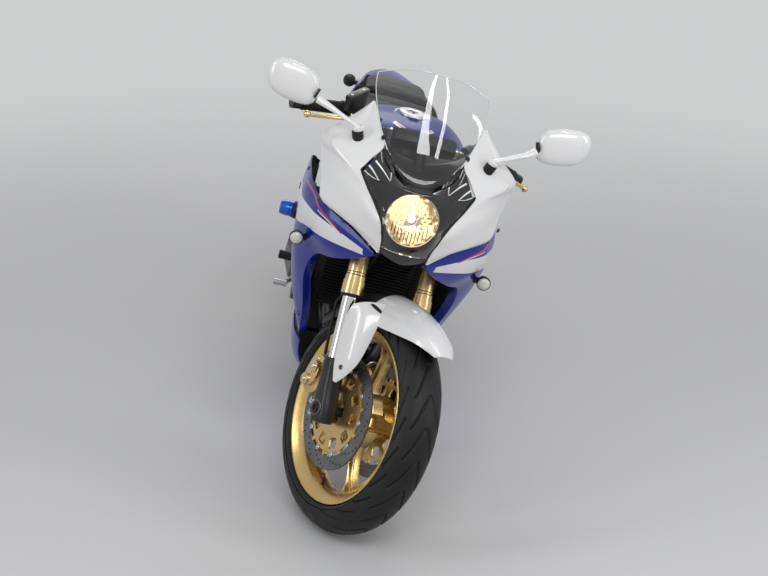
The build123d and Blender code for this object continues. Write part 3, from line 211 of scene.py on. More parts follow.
extra = {
    "stripe_white": surface("stripe_white", (0.76, 0.76, 0.77), 0.22, 0.0, 0.8, vary=0.012, vary_scale=3),
    "stripe_red": surface("stripe_red", (0.50, 0.012, 0.012), 0.25, 0.0, 0.8, vary=0.04, vary_scale=6),
    "bulb": surface("bulb_glow", (1.0, 0.85, 0.6), 0.2, emit=((1.0, 0.80, 0.52), 2.2)),
    "position_lamp": surface("position_lamp", (0.80, 0.81, 0.83), 0.2, 0.1, 0.5, vary=0.05, vary_scale=40),
    "silver": surface("silver_fastener", (0.66, 0.66, 0.67), 0.25, 1.0, vary=0.08, vary_scale=60, soft=0.4),
    "red_cap": surface("red_cap", (0.45, 0.01, 0.02), 0.35, vary=0.1, vary_scale=60),
    "smoked": surface("smoked_gloss", (0.007, 0.007, 0.008), 0.06, 0.0, 0.6, vary=0.1),
    # Painted highlight for the screen's edges: a pale opaque finish standing for light caught in them
    "edge_clear": surface("screen_edge_painted_highlight", (0.72, 0.74, 0.76), 0.12, coat=0.6, vary=0.04),
    "dial": surface("dial_face", (0.03, 0.035, 0.04), 0.3, coat=0.5, vary=0.1, vary_scale=60),
}
for entry in frame["record"]["subparts"]:
    ob = nodes[entry["node"]]
    finish = mats[entry["material_slot"]]
    for k in range(len(ob.material_slots)):
        ob.material_slots[k].material = finish
    if not ob.material_slots:
        ob.data.materials.append(finish)


# Painted glints: warm emission in cells over the headlight bowl stands for light caught by its facets
glow = mats["reflector"].node_tree
cells = add_node(glow, "TexVoronoi", Scale=62, Randomness=0.8)
spot = add_node(glow, "TexCoord")
glow.links.new(spot.outputs["Object"], cells.inputs["Vector"])
glow.links.new(ramp(glow, cells.outputs["Distance"], 0.10, 0.50, (1.0, 0.80, 0.50), (0.10, 0.05, 0.012)),
               glow.nodes["Principled BSDF"].inputs["Emission Color"])
set_inputs(glow.nodes["Principled BSDF"], Emission_Strength=0.26)


# Smooth curves through given points
def weights(knots, at, sharp=()):
    """Matrix that turns values at the knots into values at the places asked, smooth except at sharp knots."""
    n = len(knots)
    h = np.diff(knots)
    slope = np.zeros((n - 1, n))
    for i in range(n - 1):
        slope[i, i], slope[i, i + 1] = -1 / h[i], 1 / h[i]
    inner = {i: (slope[i - 1] * h[i] + slope[i] * h[i - 1]) / (h[i - 1] + h[i]) for i in range(1, n - 1)
             if i not in sharp}
    out = np.zeros((len(at), n))
    for row, v in enumerate(at):
        j = int(min(max(np.searchsorted(knots, v, side="right") - 1, 0), n - 2))
        m0, m1 = inner.get(j), inner.get(j + 1)
        if m0 is None and m1 is None:
            m0 = m1 = slope[j]
        elif m0 is None:
            m0 = 1.5 * slope[j] - 0.5 * m1
        elif m1 is None:
            m1 = 1.5 * slope[j] - 0.5 * m0
        s = (v - knots[j]) / h[j]
        out[row] = (s ** 3 - 2 * s ** 2 + s) * h[j] * m0 + (s ** 3 - s ** 2) * h[j] * m1
        out[row, j] += 2 * s ** 3 - 3 * s ** 2 + 1
        out[row, j + 1] += 3 * s ** 2 - 2 * s ** 3
    return out


def spread(points, per, sharp=(), closed=False):
    """Weights along the first axis of a block of points, with a number of steps between each two."""
    flat = points.reshape(len(points), -1, 3)
    pad = 3 if closed else 0
    order = [(i - pad) % len(points) for i in range(len(points) + 2 * pad + (1 if closed else 0))]
    flat = flat[order]
    knots = np.concatenate([[0], np.cumsum(np.linalg.norm(np.diff(flat, axis=0),
            axis=2).mean(axis=1) + 1e-6)])
    at = []
    last = len(order) - 1 - pad
    for i in range(pad, last):
        at += list(np.linspace(knots[i], knots[i + 1], per, endpoint=False))
    if not closed:
        at.append(knots[last])
    w = weights(knots, at, {s + pad for s in sharp})
    folded = np.zeros((len(at), len(points)))
    for k, i in enumerate(order):
        folded[:, i] += w[:, k]
    return folded


def smooth_grid(points, per_a, per_b, sharp_a=(), sharp_b=(), closed_b=False):
    """A coarse grid of points made dense and smooth both ways."""
    p = np.array(points, float)
    wa = spread(p, per_a, sharp_a)
    wb = spread(np.swapaxes(p, 0, 1), per_b, sharp_b, closed_b)
    return np.einsum("ai,bj,ijk->abk", wa, wb, p)


def smooth_line(points, per, closed=False, sharp=()):
    p = np.array(points, float)[:, None, :]
    return (spread(p, per, sharp, closed) @ p[:, 0, :])


def normals_of(g, closed_b=False):
    da = np.gradient(g, axis=0)
    if closed_b:
        db = np.roll(g, -1, axis=1) - np.roll(g, 1, axis=1)
    else:
        db = np.gradient(g, axis=1)
    n = np.cross(da, db)
    return n / (np.linalg.norm(n, axis=2, keepdims=True) + 1e-9)


class Build:
    """One piece, gathered in millimetres of the upright machine, then set on its body."""

    def __init__(self, name, body, slot):
        self.name, self.body, self.slot_name = name, body, slot
        self.finishes = [slot]
        self.verts, self.faces, self.kinds = [], [], []

    def number(self, kind):
        """Number of a finish on this piece; none given is the slot's own, and a new one is added."""
        kind = kind or self.slot_name
        if kind not in self.finishes:
            self.finishes.append(kind)
        return self.finishes.index(kind)

    def add(self, verts, faces, kind=None):
        base = len(self.verts)
        self.verts += [tuple(v) for v in verts]
        self.faces += [tuple(i + base for i in f) for f in faces]
        self.kinds += [self.number(kind)] * len(faces)

    def grid(self, g, kind=None, closed_a=False, closed_b=False, flip=False):
        a, b = g.shape[:2]
        faces = []
        for i in range(a if closed_a else a - 1):
            for j in range(b if closed_b else b - 1):
                q = (i * b + j, ((i + 1) % a) * b + j, ((i + 1) % a) * b + (j + 1) % b, i * b + (j + 1) % b)
                faces.append(q[::-1] if flip else q)
        self.add(g.reshape(-1, 3), faces, kind)

    def panel(self, g, thick, inward, kind=None, inner_kind=None):
        """Sheet with a thickness: outer grid, inner grid, and a border between."""
        n = normals_of(g)
        if (n * np.array(inward, float)).sum() < 0:
            n = -n
        a, b = g.shape[:2]
        both = np.concatenate([g.reshape(-1, 3), (g + n * thick).reshape(-1, 3)])
        off = a * b
        outer, inner, rim = [], [], []
        for i in range(a - 1):
            for j in range(b - 1):
                q = (i * b + j, (i + 1) * b + j, (i + 1) * b + j + 1, i * b + j + 1)
                outer.append(q)
                inner.append(tuple(v + off for v in q[::-1]))
        loop = [i * b for i in range(a)] + [(a - 1) * b + j for j in range(1, b)]
        loop += [i * b + b - 1 for i in range(a - 2, -1, -1)] + list(range(b - 2, 0, -1))
        for k in range(len(loop)):
            p, q = loop[k], loop[(k + 1) % len(loop)]
            rim.append((q, p, p + off, q + off))
        first = len(self.faces) + len(outer)
        self.add(both, outer + inner + rim, kind)
        if inner_kind:
            self.kinds[first:first + len(inner)] = [self.number(inner_kind)] * len(inner)

    def solid(self, g, kind=None):
        """Closed body from rings of points, ends filled."""
        a, b = g.shape[:2]
        base = len(self.verts)
        self.grid(g, kind, closed_b=True)
        self.faces += [tuple(base + j for j in range(b)),
                       tuple(base + (a - 1) * b + j for j in range(b - 1, -1, -1))]
        self.kinds += [self.number(kind)] * 2

    def lathe(self, profile, at, axis, kind=None, around=32, close=True):
        """Turned body: profile of (distance along the axis, radius), 0 for a point on the axis."""
        z = Vector(axis).normalized()
        x = z.orthogonal().normalized()
        y = z.cross(x)
        th = np.arange(around) * 2 * math.pi / around
        rings = []
        for s, r in profile:
            r = max(r, centre_r)
            rings.append([[at[k] + z[k] * s + r * (x[k] * math.cos(t) + y[k] * math.sin(t))
                           for k in range(3)] for t in th])
        g = np.array(rings)
        if close:
            self.solid(g, kind)
        else:
            self.grid(g, kind, closed_b=True)

    def bolt(self, at, axis, r=5.0, high=4.0, kind=None):
        """Socket head with a chamfer and a hollow."""
        self.lathe([(0, r * 1.25), (0.8, r * 1.25), (0.9, r), (high - 0.6, r), (high, r * 0.85),
                    (high, r * 0.5), (high * 0.45, r * 0.46), (high * 0.45, 0)], at, axis, kind, 18)

    def tube(self, path, radius, kind=None, around=16):
        """Round bar along a line; radius may be one value or one for each point."""
        p = np.array(path, float)
        r = np.full(len(p), radius) if np.isscalar(radius) else np.array(radius, float)
        t = np.gradient(p, axis=0)
        t /= np.linalg.norm(t, axis=1, keepdims=True)
        n = Vector(t[0]).orthogonal().normalized()
        rings = []
        for k in range(len(p)):
            d = Vector(t[k])
            n = (n - d * n.dot(d)).normalized()
            m = d.cross(n)
            rings.append([[p[k][c] + r[k] * (n[c] * math.cos(a) + m[c] * math.sin(a)) for c in range(3)]
                          for a in np.arange(around) * 2 * math.pi / around])
        self.solid(np.array(rings), kind)

    def slab(self, outline, origin, x_dir, normal, thick, edge=2.0, kind=None):
        """Plate with chamfered edges: outline in its own plane, thickness along the normal."""
        o, ex, n = Vector(origin), Vector(x_dir).normalized(), Vector(normal).normalized()
        ey = n.cross(ex)
        pts = np.array(outline, float)
        mid = pts.mean(axis=0)
        nxt, prv = np.roll(pts, -1, axis=0), np.roll(pts, 1, axis=0)
        tang = nxt - prv
        tang /= np.linalg.norm(tang, axis=1, keepdims=True)
        inward = np.stack([-tang[:, 1], tang[:, 0]], axis=1)
        if ((mid - pts) * inward).sum() < 0:
            inward = -inward
        rings = []
        for h, inset in ((0, edge), (edge * 0.3, edge * 0.3), (edge, 0), (thick - edge, 0),
                         (thick - edge * 0.3, edge * 0.3), (thick, edge)):
            q = pts + inward * inset
            rings.append([list(o + ex * u + ey * v + n * h) for u, v in q])
        self.solid(np.array(rings), kind)

    def done(self, replaces=(), angle=35, place=True):
        me = bpy.data.meshes.new(self.name)
        me.from_pydata(self.verts, [], self.faces)
        for name in self.finishes:
            me.materials.append(extra.get(name) or mats[name])
        me.polygons.foreach_set("material_index", self.kinds)
        bm = bmesh.new()
        bm.from_mesh(me)
        bmesh.ops.remove_doubles(bm, verts=bm.verts, dist=0.004)
        bmesh.ops.dissolve_degenerate(bm, edges=bm.edges, dist=0.003)
        bmesh.ops.recalc_face_normals(bm, faces=bm.faces)
        bm.to_mesh(me)
        bm.free()
        me.polygons.foreach_set("use_smooth", [True] * len(me.polygons))
        me.set_sharp_from_angle(angle=math.radians(angle))
        if place:
            me.transform(places[self.body] @ Matrix.Scale(MM, 4))
        ob = bpy.data.objects.new(self.name, me)
        scene.collection.objects.link(ob)
        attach(ob, self.body)
        if replaces:
            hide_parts(*replaces)
        return ob


def on_side(side, points):
    """Points given for the left side, mirrored where the side is -1."""
    return np.array(points, float) * (side, 1, 1)


def full_row(half, middle):
    """Row across the machine from its left half, listed from the edge inward, and its middle point."""
    return [(-x, y, z) for x, y, z in half] + [middle] + half[::-1]


def rounded_square(power, count=24):
    """Points round a square of half side one; a higher power gives sharper corners."""
    turns = [2 * math.pi * k / count for k in range(count)]
    reach = [(abs(math.cos(a)) ** power + abs(math.sin(a)) ** power) ** (1 / power) for a in turns]
    return [(math.cos(a) / r, math.sin(a) / r) for a, r in zip(turns, reach)]


def on_wheel(centre, x, r, a):
    """Point of a wheel: x to the side, at radius r, turned forward from the top by an angle."""
    return (centre[0] + x, centre[1] - r * math.sin(a), centre[2] + r * math.cos(a))


def bvh_of(grids):
    verts, faces = [], []
    for g in grids:
        a, b = g.shape[:2]
        base = len(verts)
        verts += [Vector(v) for v in g.reshape(-1, 3)]
        faces += [(base + i * b + j, base + (i + 1) * b + j, base + (i + 1) * b + j + 1,
                   base + i * b + j + 1) for i in range(a - 1) for j in range(b - 1)]
    return BVHTree.FromPolygons(verts, faces)


cast_from = 400


def decal(piece, bvh, one, two, ray, kind, steps=24, across=5, lift=0.5):
    """Painted band between two lines, laid on a surface by casting both onto it."""
    a = smooth_line(one, steps)
    b = smooth_line(two, steps)
    n = min(len(a), len(b))
    a = a[np.linspace(0, len(a) - 1, n).astype(int)]
    b = b[np.linspace(0, len(b) - 1, n).astype(int)]
    d = Vector(ray).normalized()
    rows = []
    for p, q in zip(a, b):
        row = []
        for k in range(across + 1):
            m = Vector(p + (q - p) * (k / across))
            hit, normal, _, _ = bvh.ray_cast(m - d * cast_from, d)
            if hit is None:
                hit, normal, _, _ = bvh.find_nearest(m)
            if normal.dot(d) > 0:
                normal = -normal
            row.append(list(hit + normal * lift))
        rows.append(row)
    piece.panel(np.array(rows), lift + 0.3, d, kind)


# Tyres: one pitch of the tread worked out, then repeated round
bead_r, seat_r = 232.8, 219.2
# Each groove: points of distance across the crown and degrees round, then half its width
front_grooves = [([(-77, 25.3), (-64.6, 20.7), (-44.7, 16), (-26, 10.5), (-12, 4.9), (-3, 0.9), (6, 0),
                   (15, 3.5), (30, 11), (43, 17)], 2.5), ([(-83, 1), (-66, -0.3), (-47, -3.7)], 2.2),
                   ([(62, 12), (74, 19), (84, 25)], 2.2)]
rear_grooves = [([(-118, 32), (-95, 24), (-60, 15), (-28, 6), (-8, 0), (10, 4), (40, 14), (70, 22)], 2.6),
                ([(-122, 14), (-92, 8), (-62, 0)], 2.2), ([(88, 12), (104, 20), (122, 27)], 2.2)]


def tyre(name, node, body, centre, tyre_r, crown_r, start_deg, bead_x, pitches, cols, rows, grooves, deep):
    """Ring with a round crown that ends at a shoulder angle, grooves pressed into it, and two side walls."""
    ring = tyre_r - crown_r
    a0 = math.radians(start_deg)
    phi = np.linspace(math.pi - a0, a0, rows)
    s = (math.pi / 2 - phi) * crown_r
    step = 360 / pitches
    theta = np.arange(cols) * step / cols
    depth = np.zeros((cols, rows))
    for line, half in grooves:
        pts = smooth_line([(x, y, 0) for x, y in line], 8)[:, :2]
        for shift_k in range(-4, 5):
            for i in range(len(pts) - 1):
                p, q = pts[i], pts[i + 1]
                local = ring + crown_r * np.cos(s / crown_r)
                px = s[None, :] - p[0]
                py = np.radians(theta[:, None] - p[1] - shift_k * step) * local[None, :]
                qx, qy = q[0] - p[0], math.radians(q[1] - p[1]) * local[None, :]
                f = np.clip((px * qx + py * qy) / (qx ** 2 + qy ** 2), 0, 1)
                dist = np.hypot(px - f * qx, py - f * qy)
                wall = np.clip((half + 0.8 - dist) / 1.5, 0, 1)
                depth = np.maximum(depth, wall * wall * (3 - 2 * wall))
    depth = np.tile(depth, (pitches, 1)) * deep
    total = pitches * cols
    th = np.radians(np.arange(total) * 360 / total)
    side = np.array([crown_r * math.cos(a0), ring + crown_r * math.sin(a0)])
    bead = np.array([bead_x, bead_r])
    mid = (side + bead) / 2 + np.array([1.8, -2.2])
    wall_pts = smooth_line([(*side, 0), (*mid, 0), (*bead, 0)], 5)[1:, :2]
    # Two low ribs run round the side wall
    rib = np.array([0.0, 0.0, 0.5, 0.5, 0.0, 0.0, 0.5, 0.9, 0.4, 0.0])[:len(wall_pts)]
    wall_pts = wall_pts + rib[:, None] * np.array([0.9, 0.5])
    inner = np.array([[bead_x, seat_r], [bead_x - 8, seat_r]])
    right = np.concatenate([wall_pts, inner])
    left_part = right[::-1] * np.array([-1, 1])
    radius = ring + (crown_r - depth) * np.sin(phi)[None, :]
    crown_x = (crown_r - depth) * -np.cos(phi)[None, :]
    full_x = np.concatenate([np.tile(left_part[:, 0], (total, 1)), crown_x,
                             np.tile(right[:, 0], (total, 1))], 1)
    full_r = np.concatenate([np.tile(left_part[:, 1], (total, 1)), radius,
                             np.tile(right[:, 1], (total, 1))], 1)
    g = np.stack([centre[0] + full_x, centre[1] - full_r * np.sin(th)[:, None],
                  centre[2] + full_r * np.cos(th)[:, None]], axis=2)
    piece = Build(name, body, "tyre")
    piece.grid(g, closed_a=True, closed_b=True)
    piece.done([node], angle=55)


tyre("front_tyre_tread", "front_tyre", "front_wheel", front_axle, 300, 60, 6, 44, 23, 40, 74, front_grooves,
     4.2)
tyre("rear_tyre_tread", "rear_tyre", "rear_wheel", rear_axle, 315, 90, 12, 69.5, 18, 38, 68, rear_grooves,
     4.6)


# Cast wheels: turned barrel, a spoked face with windows, a hub
first_spoke, spoke_step = -3, 72
# Half of a spoke's section, as shares of its half width and half thickness; the None rows are the pocket
spoke_half_section = [(1, 0.55), (0.97, 0.82), (0.82, 1), (0.62, 1), (0.46, None), (0, None), (-0.46, None),
                      (-0.62, 1), (-0.82, 1), (-0.97, 0.82), (-1, 0.55)]
def rim_piece(name, node, body, centre, half, hub_half, hub_r, bore, lug_r, spoke_half):
    piece = Build(name, body, "gold_rim")
    flange, seat, well = 232.0, 218.5, 194.0
    lip = [(18, well), (half - 12, well + 10), (half - 2, well + 20), (half + 3.5, flange - 9),
           (half + 6.5, flange - 5), (half + 6.5, flange - 1), (half + 5.3, flange), (half + 1, flange),
           (half, flange - 1), (half, seat), (half - 9, seat), (half - 24, seat - 15)]
    loop = lip + [(-x, r) for x, r in reversed(lip)]
    turns = np.radians(np.arange(0, 360, 2.5))
    barrel = np.array([[on_wheel(centre, x, r, t) for x, r in loop] for t in turns])
    piece.grid(barrel, closed_a=True, closed_b=True)
    thick = [(22, hub_half), (hub_r + 3, hub_half - 3), (hub_r + 14, 24), (lug_r - 10, 19),
             (lug_r + 8, spoke_half + 3), (120, spoke_half), (165, spoke_half), (190, spoke_half + 4),
             (198, spoke_half + 7)]
    radii = [r for r, _ in thick]
    widths = [(lug_r - 20, 30), (lug_r + 4, 20), (110, 15), (140, 12.5), (165, 13.5), (184, 18), (199, 27)]

    def half_thick(r):
        return float(np.interp(r, radii, [t for _, t in thick]))

    for k in range(5):
        a0 = math.radians(first_spoke + spoke_step * k)
        rings = []
        for r in np.linspace(lug_r - 22, 198, 22):
            w = float(np.interp(r, [q[0] for q in widths], [q[1] for q in widths]))
            t = half_thick(r)
            open_k = min(max((r - 160) / 26, 0), 1)
            pocket = 0.28 + 0.62 * open_k * open_k
            half = [(u, 1 - pocket if v is None else v) for u, v in spoke_half_section]
            ring = []
            for u, v in half + [(u, -v) for u, v in reversed(half)]:
                y = u * w
                ring.append([centre[0] + v * t, centre[1] - (r * math.sin(a0) + y * math.cos(a0)),
                             centre[2] + r * math.cos(a0) - y * math.sin(a0)])
            rings.append(ring)
        piece.solid(np.array(rings))
    hub = [(-hub_half, bore), (-hub_half, hub_r - 2), (-hub_half + 2, hub_r), (-26, hub_r + 2),
           (-20, hub_r + 14), (-18, lug_r - 6), (-15, lug_r), (15, lug_r), (18, lug_r - 6),
           (20, hub_r + 14), (26, hub_r + 2), (hub_half - 2, hub_r), (hub_half, hub_r - 2),
           (hub_half, bore)]
    piece.lathe(hub, centre, (1, 0, 0), "gold_rim", 64, close=False)
    piece.lathe([(-hub_half, bore), (hub_half, bore)], centre, (1, 0, 0), "gold_rim", 64, close=False)
    for k in range(5):
        a = math.radians(first_spoke + spoke_step * (k + 0.5))
        at = on_wheel(centre, 0, lug_r - 17, a)
        for sx in sides:
            piece.lathe([(17.4, 0), (17.4, 8.6), (18.6, 9.4), (19.4, 9.4), (19.4, 10.8), (17.0, 11.6)], at,
                        (sx, 0, 0), "black_plastic", 24)
    # Air valve with its cap
    a = math.radians(first_spoke + 2 * spoke_step + 30)
    base = on_wheel(centre, -22, 197, a)
    inward = Vector((-0.35, math.sin(a), -math.cos(a)))
    piece.lathe([(-4, 5), (2, 5), (3, 3.4), (16, 3), (17, 4.4), (30, 4.4), (31, 3), (31, 0)], base, inward,
                "black_rubber", 14)
    tip = tuple(b + d * 22 for b, d in zip(base, inward.normalized()))
    piece.lathe([(0, 4.7), (8, 4.7), (9, 3), (9, 0)], tip, inward, "red_cap", 14)
    piece.done([node])


rim_piece("front_rim_cast", "front_rim", "front_wheel", front_axle, 44.5, 52, 30, 14, 84, 13)
rim_piece("rear_rim_cast", "rear_rim", "rear_wheel", rear_axle, 70, 92, 36, 14.5, 92, 17)


# Fork: places along a leg, s from the axle
leg_x = 107.6
sin_c, cos_c = math.sin(caster), math.cos(caster)
leg_dir = (0, sin_c, cos_c)


def leg(side, s, ahead=0.0, out=0.0):
    return (side * (leg_x + out), s * sin_c - ahead * cos_c, 300 + s * cos_c + ahead * sin_c)


feet = Build("fork_feet_cast", "steering", "black_metal")
# Foot sections: distance along, half depth, half width, shift ahead
foot_rows = [(-36, 20, 16, 0), (-33, 30, 22, 0), (-22, 34, 24, 0), (0, 35, 25, 0), (30, 32, 25, -1),
             (60, 29, 25, -1), (94, 27, 25, 0), (126, 26, 25.5, 0), (130, 24.5, 24, 0)]
for side in sides:
    rings = [[leg(side, s, ahead + d * v, w * u) for u, v in rounded_square(3)] for s, d, w,
             ahead in foot_rows]
    feet.solid(smooth_grid(rings, 3, 1, closed_b=True))
    feet.lathe([(24.5, 22), (26, 21), (26, 15), (23, 14), (23, 0)], leg(side, 0), (side, 0, 0),
               "dark_steel", 32)
    feet.lathe([(23, 12), (28.5, 11.5), (29.5, 10.5), (29.5, 8), (25, 7.6), (25, 0)], leg(side, 0),
               (side, 0, 0), "black_metal", 32)
    feet.bolt(leg(side, 14, -30, 20), (side * 0.9, 0.35, 0.1), 8, 7, "silver")
    feet.bolt(leg(side, -16, -26, 20), (side * 0.9, 0.35, 0.1), 6, 6, "silver")
    for s in (58, 102):
        feet.lathe([(0, 11), (14, 11), (16, 9)], leg(side, s, -24, -14), (0, 0.906, -0.42), "black_metal",
                   20)
        feet.bolt(leg(side, s, -38, -14), (0, 0.906, -0.42), 6, 6, "silver")
feet.done(["fork_feet"])

seals = Build("fork_seals", "steering", "black_rubber")
for side in sides:
    seals.lathe([(288, 21.5), (289, 26), (294, 27.2), (296.2, 27.2), (296.2, 21.5)], leg(side, 0), leg_dir,
                "black_rubber", 40)
    for s in (345.0, 351.5, 561.0):
        seals.lathe([(s, 25.15), (s + 0.2, 25.6), (s + 1.6, 25.6), (s + 1.8, 25.15)], leg(side, 0), leg_dir,
                    "black_metal", 40)
    seals.lathe([(725.5, 16), (729, 16), (730, 15), (730, 8), (728, 7.6), (728, 0)], leg(side, 0), leg_dir,
                "blue_anodised", 32)
    seals.bolt(leg(side, 512, 0, 34), (side * 0.4, -0.8, 0.35), 4, 5, "silver")
seals.done()


# Brake calipers: two halves over the disc, bridge, pistons and bolts
disc_gap = 7.8
front_caliper_tilt = 15


def wheel_plane(tilt, out, across):
    """Offset in the plane of a wheel: out along a tilted radius, and across it."""
    return (Vector((0, math.cos(tilt), math.sin(tilt))) * out + Vector((0, -math.sin(tilt),
            math.cos(tilt))) * across)


def caliper(name, node, body, centre, disc_x, tilt_deg, outline, outer, inner, slot_name, bolt_kind,
            pistons):
    piece = Build(name, body, slot_name)
    t = math.radians(tilt_deg)
    x_dir = (0, math.cos(t), math.sin(t))
    s = 1 if disc_x > 0 else -1
    dense_outline = smooth_line([(u, v, 0) for u, v in outline], 4, closed=True)[:, :2]
    for x0, thick, direction in ((disc_x + s * disc_gap, outer, s), (disc_x - s * disc_gap, inner, -s)):
        at = (x0, centre[1], centre[2])
        pts = dense_outline if direction > 0 else dense_outline * np.array([1, -1])
        piece.slab(pts, at, x_dir, (direction, 0, 0), thick, 3.0)
    top = max(u for u, _ in outline)
    for v in (-24, 0, 24):
        at = Vector((disc_x - s * (disc_gap + inner * 0.6), centre[1], centre[2])) + wheel_plane(t, top - 5,
                v)
        piece.lathe([(0, 8), (15.6 + (outer + inner) * 0.6, 8)], tuple(at), (s, 0, 0), slot_name, 20)
    for u, v, r in pistons:
        at = Vector((disc_x + s * (disc_gap + outer - 1), centre[1], centre[2])) + wheel_plane(t, u, v)
        piece.lathe([(0, r + 2), (1.2, r + 1), (2.6, r - 1), (3.0, r - 4), (1.6, r - 6), (1.6, 0)],
                    tuple(at), (s, 0, 0), slot_name, 28)
        piece.bolt(tuple(at + Vector((s * 1.2, 0, 0))), (s, 0, 0), 4, 3, bolt_kind)
    for v in (-34, 34):
        at = Vector((disc_x + s * (disc_gap + outer - 1), centre[1], centre[2])) + wheel_plane(t, top - 16,
                v)
        piece.bolt(tuple(at), (s, 0, 0), 5, 5, "silver")
    piece.done([node])


front_outline = [(96, -44), (96, 44), (120, 54), (150, 47), (164, 20), (164, -20), (150, -47), (120, -54)]
both_calipers = Build("front_caliper_lugs", "steering", "gold_anodised")
for side in sides:
    t = math.radians(front_caliper_tilt)
    lug = smooth_line([(108, -30, 0), (108, 30, 0), (124, 41, 0), (140, 34, 0), (144, 0, 0), (140, -34, 0),
                       (124, -41, 0)], 4, closed=True)[:, :2] * (1, side)
    both_calipers.slab(lug, (side * 94, 0, 300), (0, math.cos(t), math.sin(t)), (side, 0, 0), 17, 3.5)
    for v in (24, -24):
        at = Vector((side * 92, 0, 300)) + wheel_plane(t, 126, v)
        both_calipers.lathe([(0, 16), (24, 16), (26, 14), (26, 9)], tuple(at), (side, 0, 0),
                            "gold_anodised", 24)
        both_calipers.bolt(tuple(at + Vector((side * 26, 0, 0))), (side, 0, 0), 7, 5, "silver")
    both_calipers.tube(smooth_line(on_side(side, [(66, 156, 368), (70, 150, 388), (92, 128, 388)]), 5), 4.5,
                       "silver", 12)
both_calipers.done()
for word, disc_x in (("right", -66.5), ("left", 66.5)):
    caliper("front_caliper_" + word, "front_calipers", "steering", front_axle, disc_x, front_caliper_tilt,
            front_outline, 25.5, 12, "gold_anodised", "black_metal", [(132, 24, 17), (132, -24, 17)])
caliper("rear_caliper_cast", "rear_caliper", "chassis", rear_axle, -98.5, 122,
        [(80, -30), (80, 30), (98, 38), (124, 34), (136, 16), (136, -16), (124, -34), (98, -38)], 14, 9,
        "black_metal", "silver", [(108, 0, 16)])

buttons = Build("disc_buttons", "front_wheel", "alloy")
for side in sides:
    for k in range(10):
        a = math.radians(36 * k)
        at = on_wheel(front_axle, side * 69.0, 108.5, a)
        buttons.lathe([(0, 7), (2.2, 7), (2.8, 6), (2.8, 3.4), (1.6, 3), (1.6, 0)], at, (side, 0, 0),
                      "alloy", 20)
buttons.done()

# Front mudguard: rows of angle back from up, crown radius, half width, edge radius
guard_rows = [(-33, 362, 26, 348), (-26, 357, 52, 325), (-14, 347, 71, 282), (0, 335, 80, 254),
              (18, 326, 82, 252), (40, 322, 80, 250), (62, 322, 72, 262)]
wing_rows = [((56, 36, 602), (94, 50, 592), (128, 70, 566)),
             ((70, 14, 577), (104, 30, 568), (129, 72, 545)),
             ((80, -1, 546), (110, 14, 538), (129, 68, 522)),
             ((91, -18, 500), (115, -2, 498), (129, 60, 494)),
             ((101, -28, 455), (118, -14, 455), (128, 44, 455)),
             ((109, -20, 415), (119, -8, 415), (127, 24, 415)),
             ((115, -3, 380), (118.5, -1, 380), (122, 3, 380))]
drops = {-1.0: 1.0, -0.92: 0.62, -0.66: 0.27, -0.32: 0.06, 0.0: 0.0, 0.32: 0.06, 0.66: 0.27, 0.92: 0.62,
         1.0: 1.0}
guard = []
for deg, crown, half, edge in guard_rows:
    a = math.radians(deg)
    guard.append([(half * u, (crown - (crown - edge) * d) * math.sin(a),
                   300 + (crown - (crown - edge) * d) * math.cos(a)) for u, d in drops.items()])
guard_grid = smooth_grid(guard, 9, 6)
wing_grid = smooth_grid(wing_rows, 8, 9)
mudguard = Build("front_mudguard_shell", "steering", "white_gloss")
# White in front, black behind this row
black_from = 34
mudguard.panel(guard_grid[:black_from + 1], 2.6, (0, 0, -1), "white_gloss", "black_plastic")
mudguard.panel(guard_grid[black_from:], 2.6, (0, 0, -1), "black_plastic")
for side in sides:
    wing = wing_grid * (side, 1, 1)
    mudguard.panel(wing, 3.0, (-side * 0.35, 1, 0), "white_gloss", "black_plastic")
    mudguard.bolt((side * 121.5, -2, 424), (side * 0.6, -0.8, 0), 5.5, 3, "dark_steel")
    # Painted shade: a black band laid on the top of the wing stands for the shaded slot there
    decal(mudguard, bvh_of([wing]), on_side(side, [(97, 47, 588), (90, 44, 590), (81, 35, 589),
            (71, 22, 585), (67, 17, 581.5)]), on_side(side,
                    [(97, 46, 587), (93, 39, 584.5), (84, 28, 581.5), (73, 19, 580), (67.5, 17, 581)]),
                    (-side * 0.2, 0.6, -0.75), "black_plastic", 8, 4, 0.8)
mudguard.done(["front_mudguard"])

# White upper cowls: height, inner edge, crease, outer edge
cheek_rows = [(767, (58, -62), (59, -61), (61, -58)), (790, (61, -72), (78, -62), (133, 15)),
              (816, (66, -80), (112, -40), (217, 88)), (850, (76, -84), (124, -32), (226, 113)),
              (876, (97, -46), (132, -16), (232, 131)), (900, (121, -6), (146, 20), (239, 146)),
              (925, (146, 44), (172, 58), (245, 157)), (952, (126, 62), (208, 102), (249, 164)),
              (988, (101, 90), (160, 134), (212, 178)), (1020, (121, 143), (150, 166), (178, 190)),
              (1055, (141, 199), (143, 200), (146, 203))]
cheek = [[(a[0], a[1], z), ((a[0] + m[0]) / 2 + 1, (a[1] + m[1]) / 2 - 1, z), (m[0], m[1], z),
          ((m[0] + b[0]) / 2 + 3, (m[1] + b[1]) / 2 - 3, z), (b[0], b[1], z)] for z, a, m, b in cheek_rows]
cheek_grid = smooth_grid(cheek, 7, 8, sharp_a=(6,), sharp_b=())
cowls = Build("upper_cowl_shells", "chassis", "white_gloss")
for side in sides:
    cowls.panel(cheek_grid * (side, 1, 1), skin, (-side * 0.6, 1, 0), "white_gloss", "black_plastic")
    cowls.bolt((side * 236, 126, 832), (side * 0.8, -0.6, 0), 5, 3, "dark_steel")
cowls.done(["upper_cowls"])

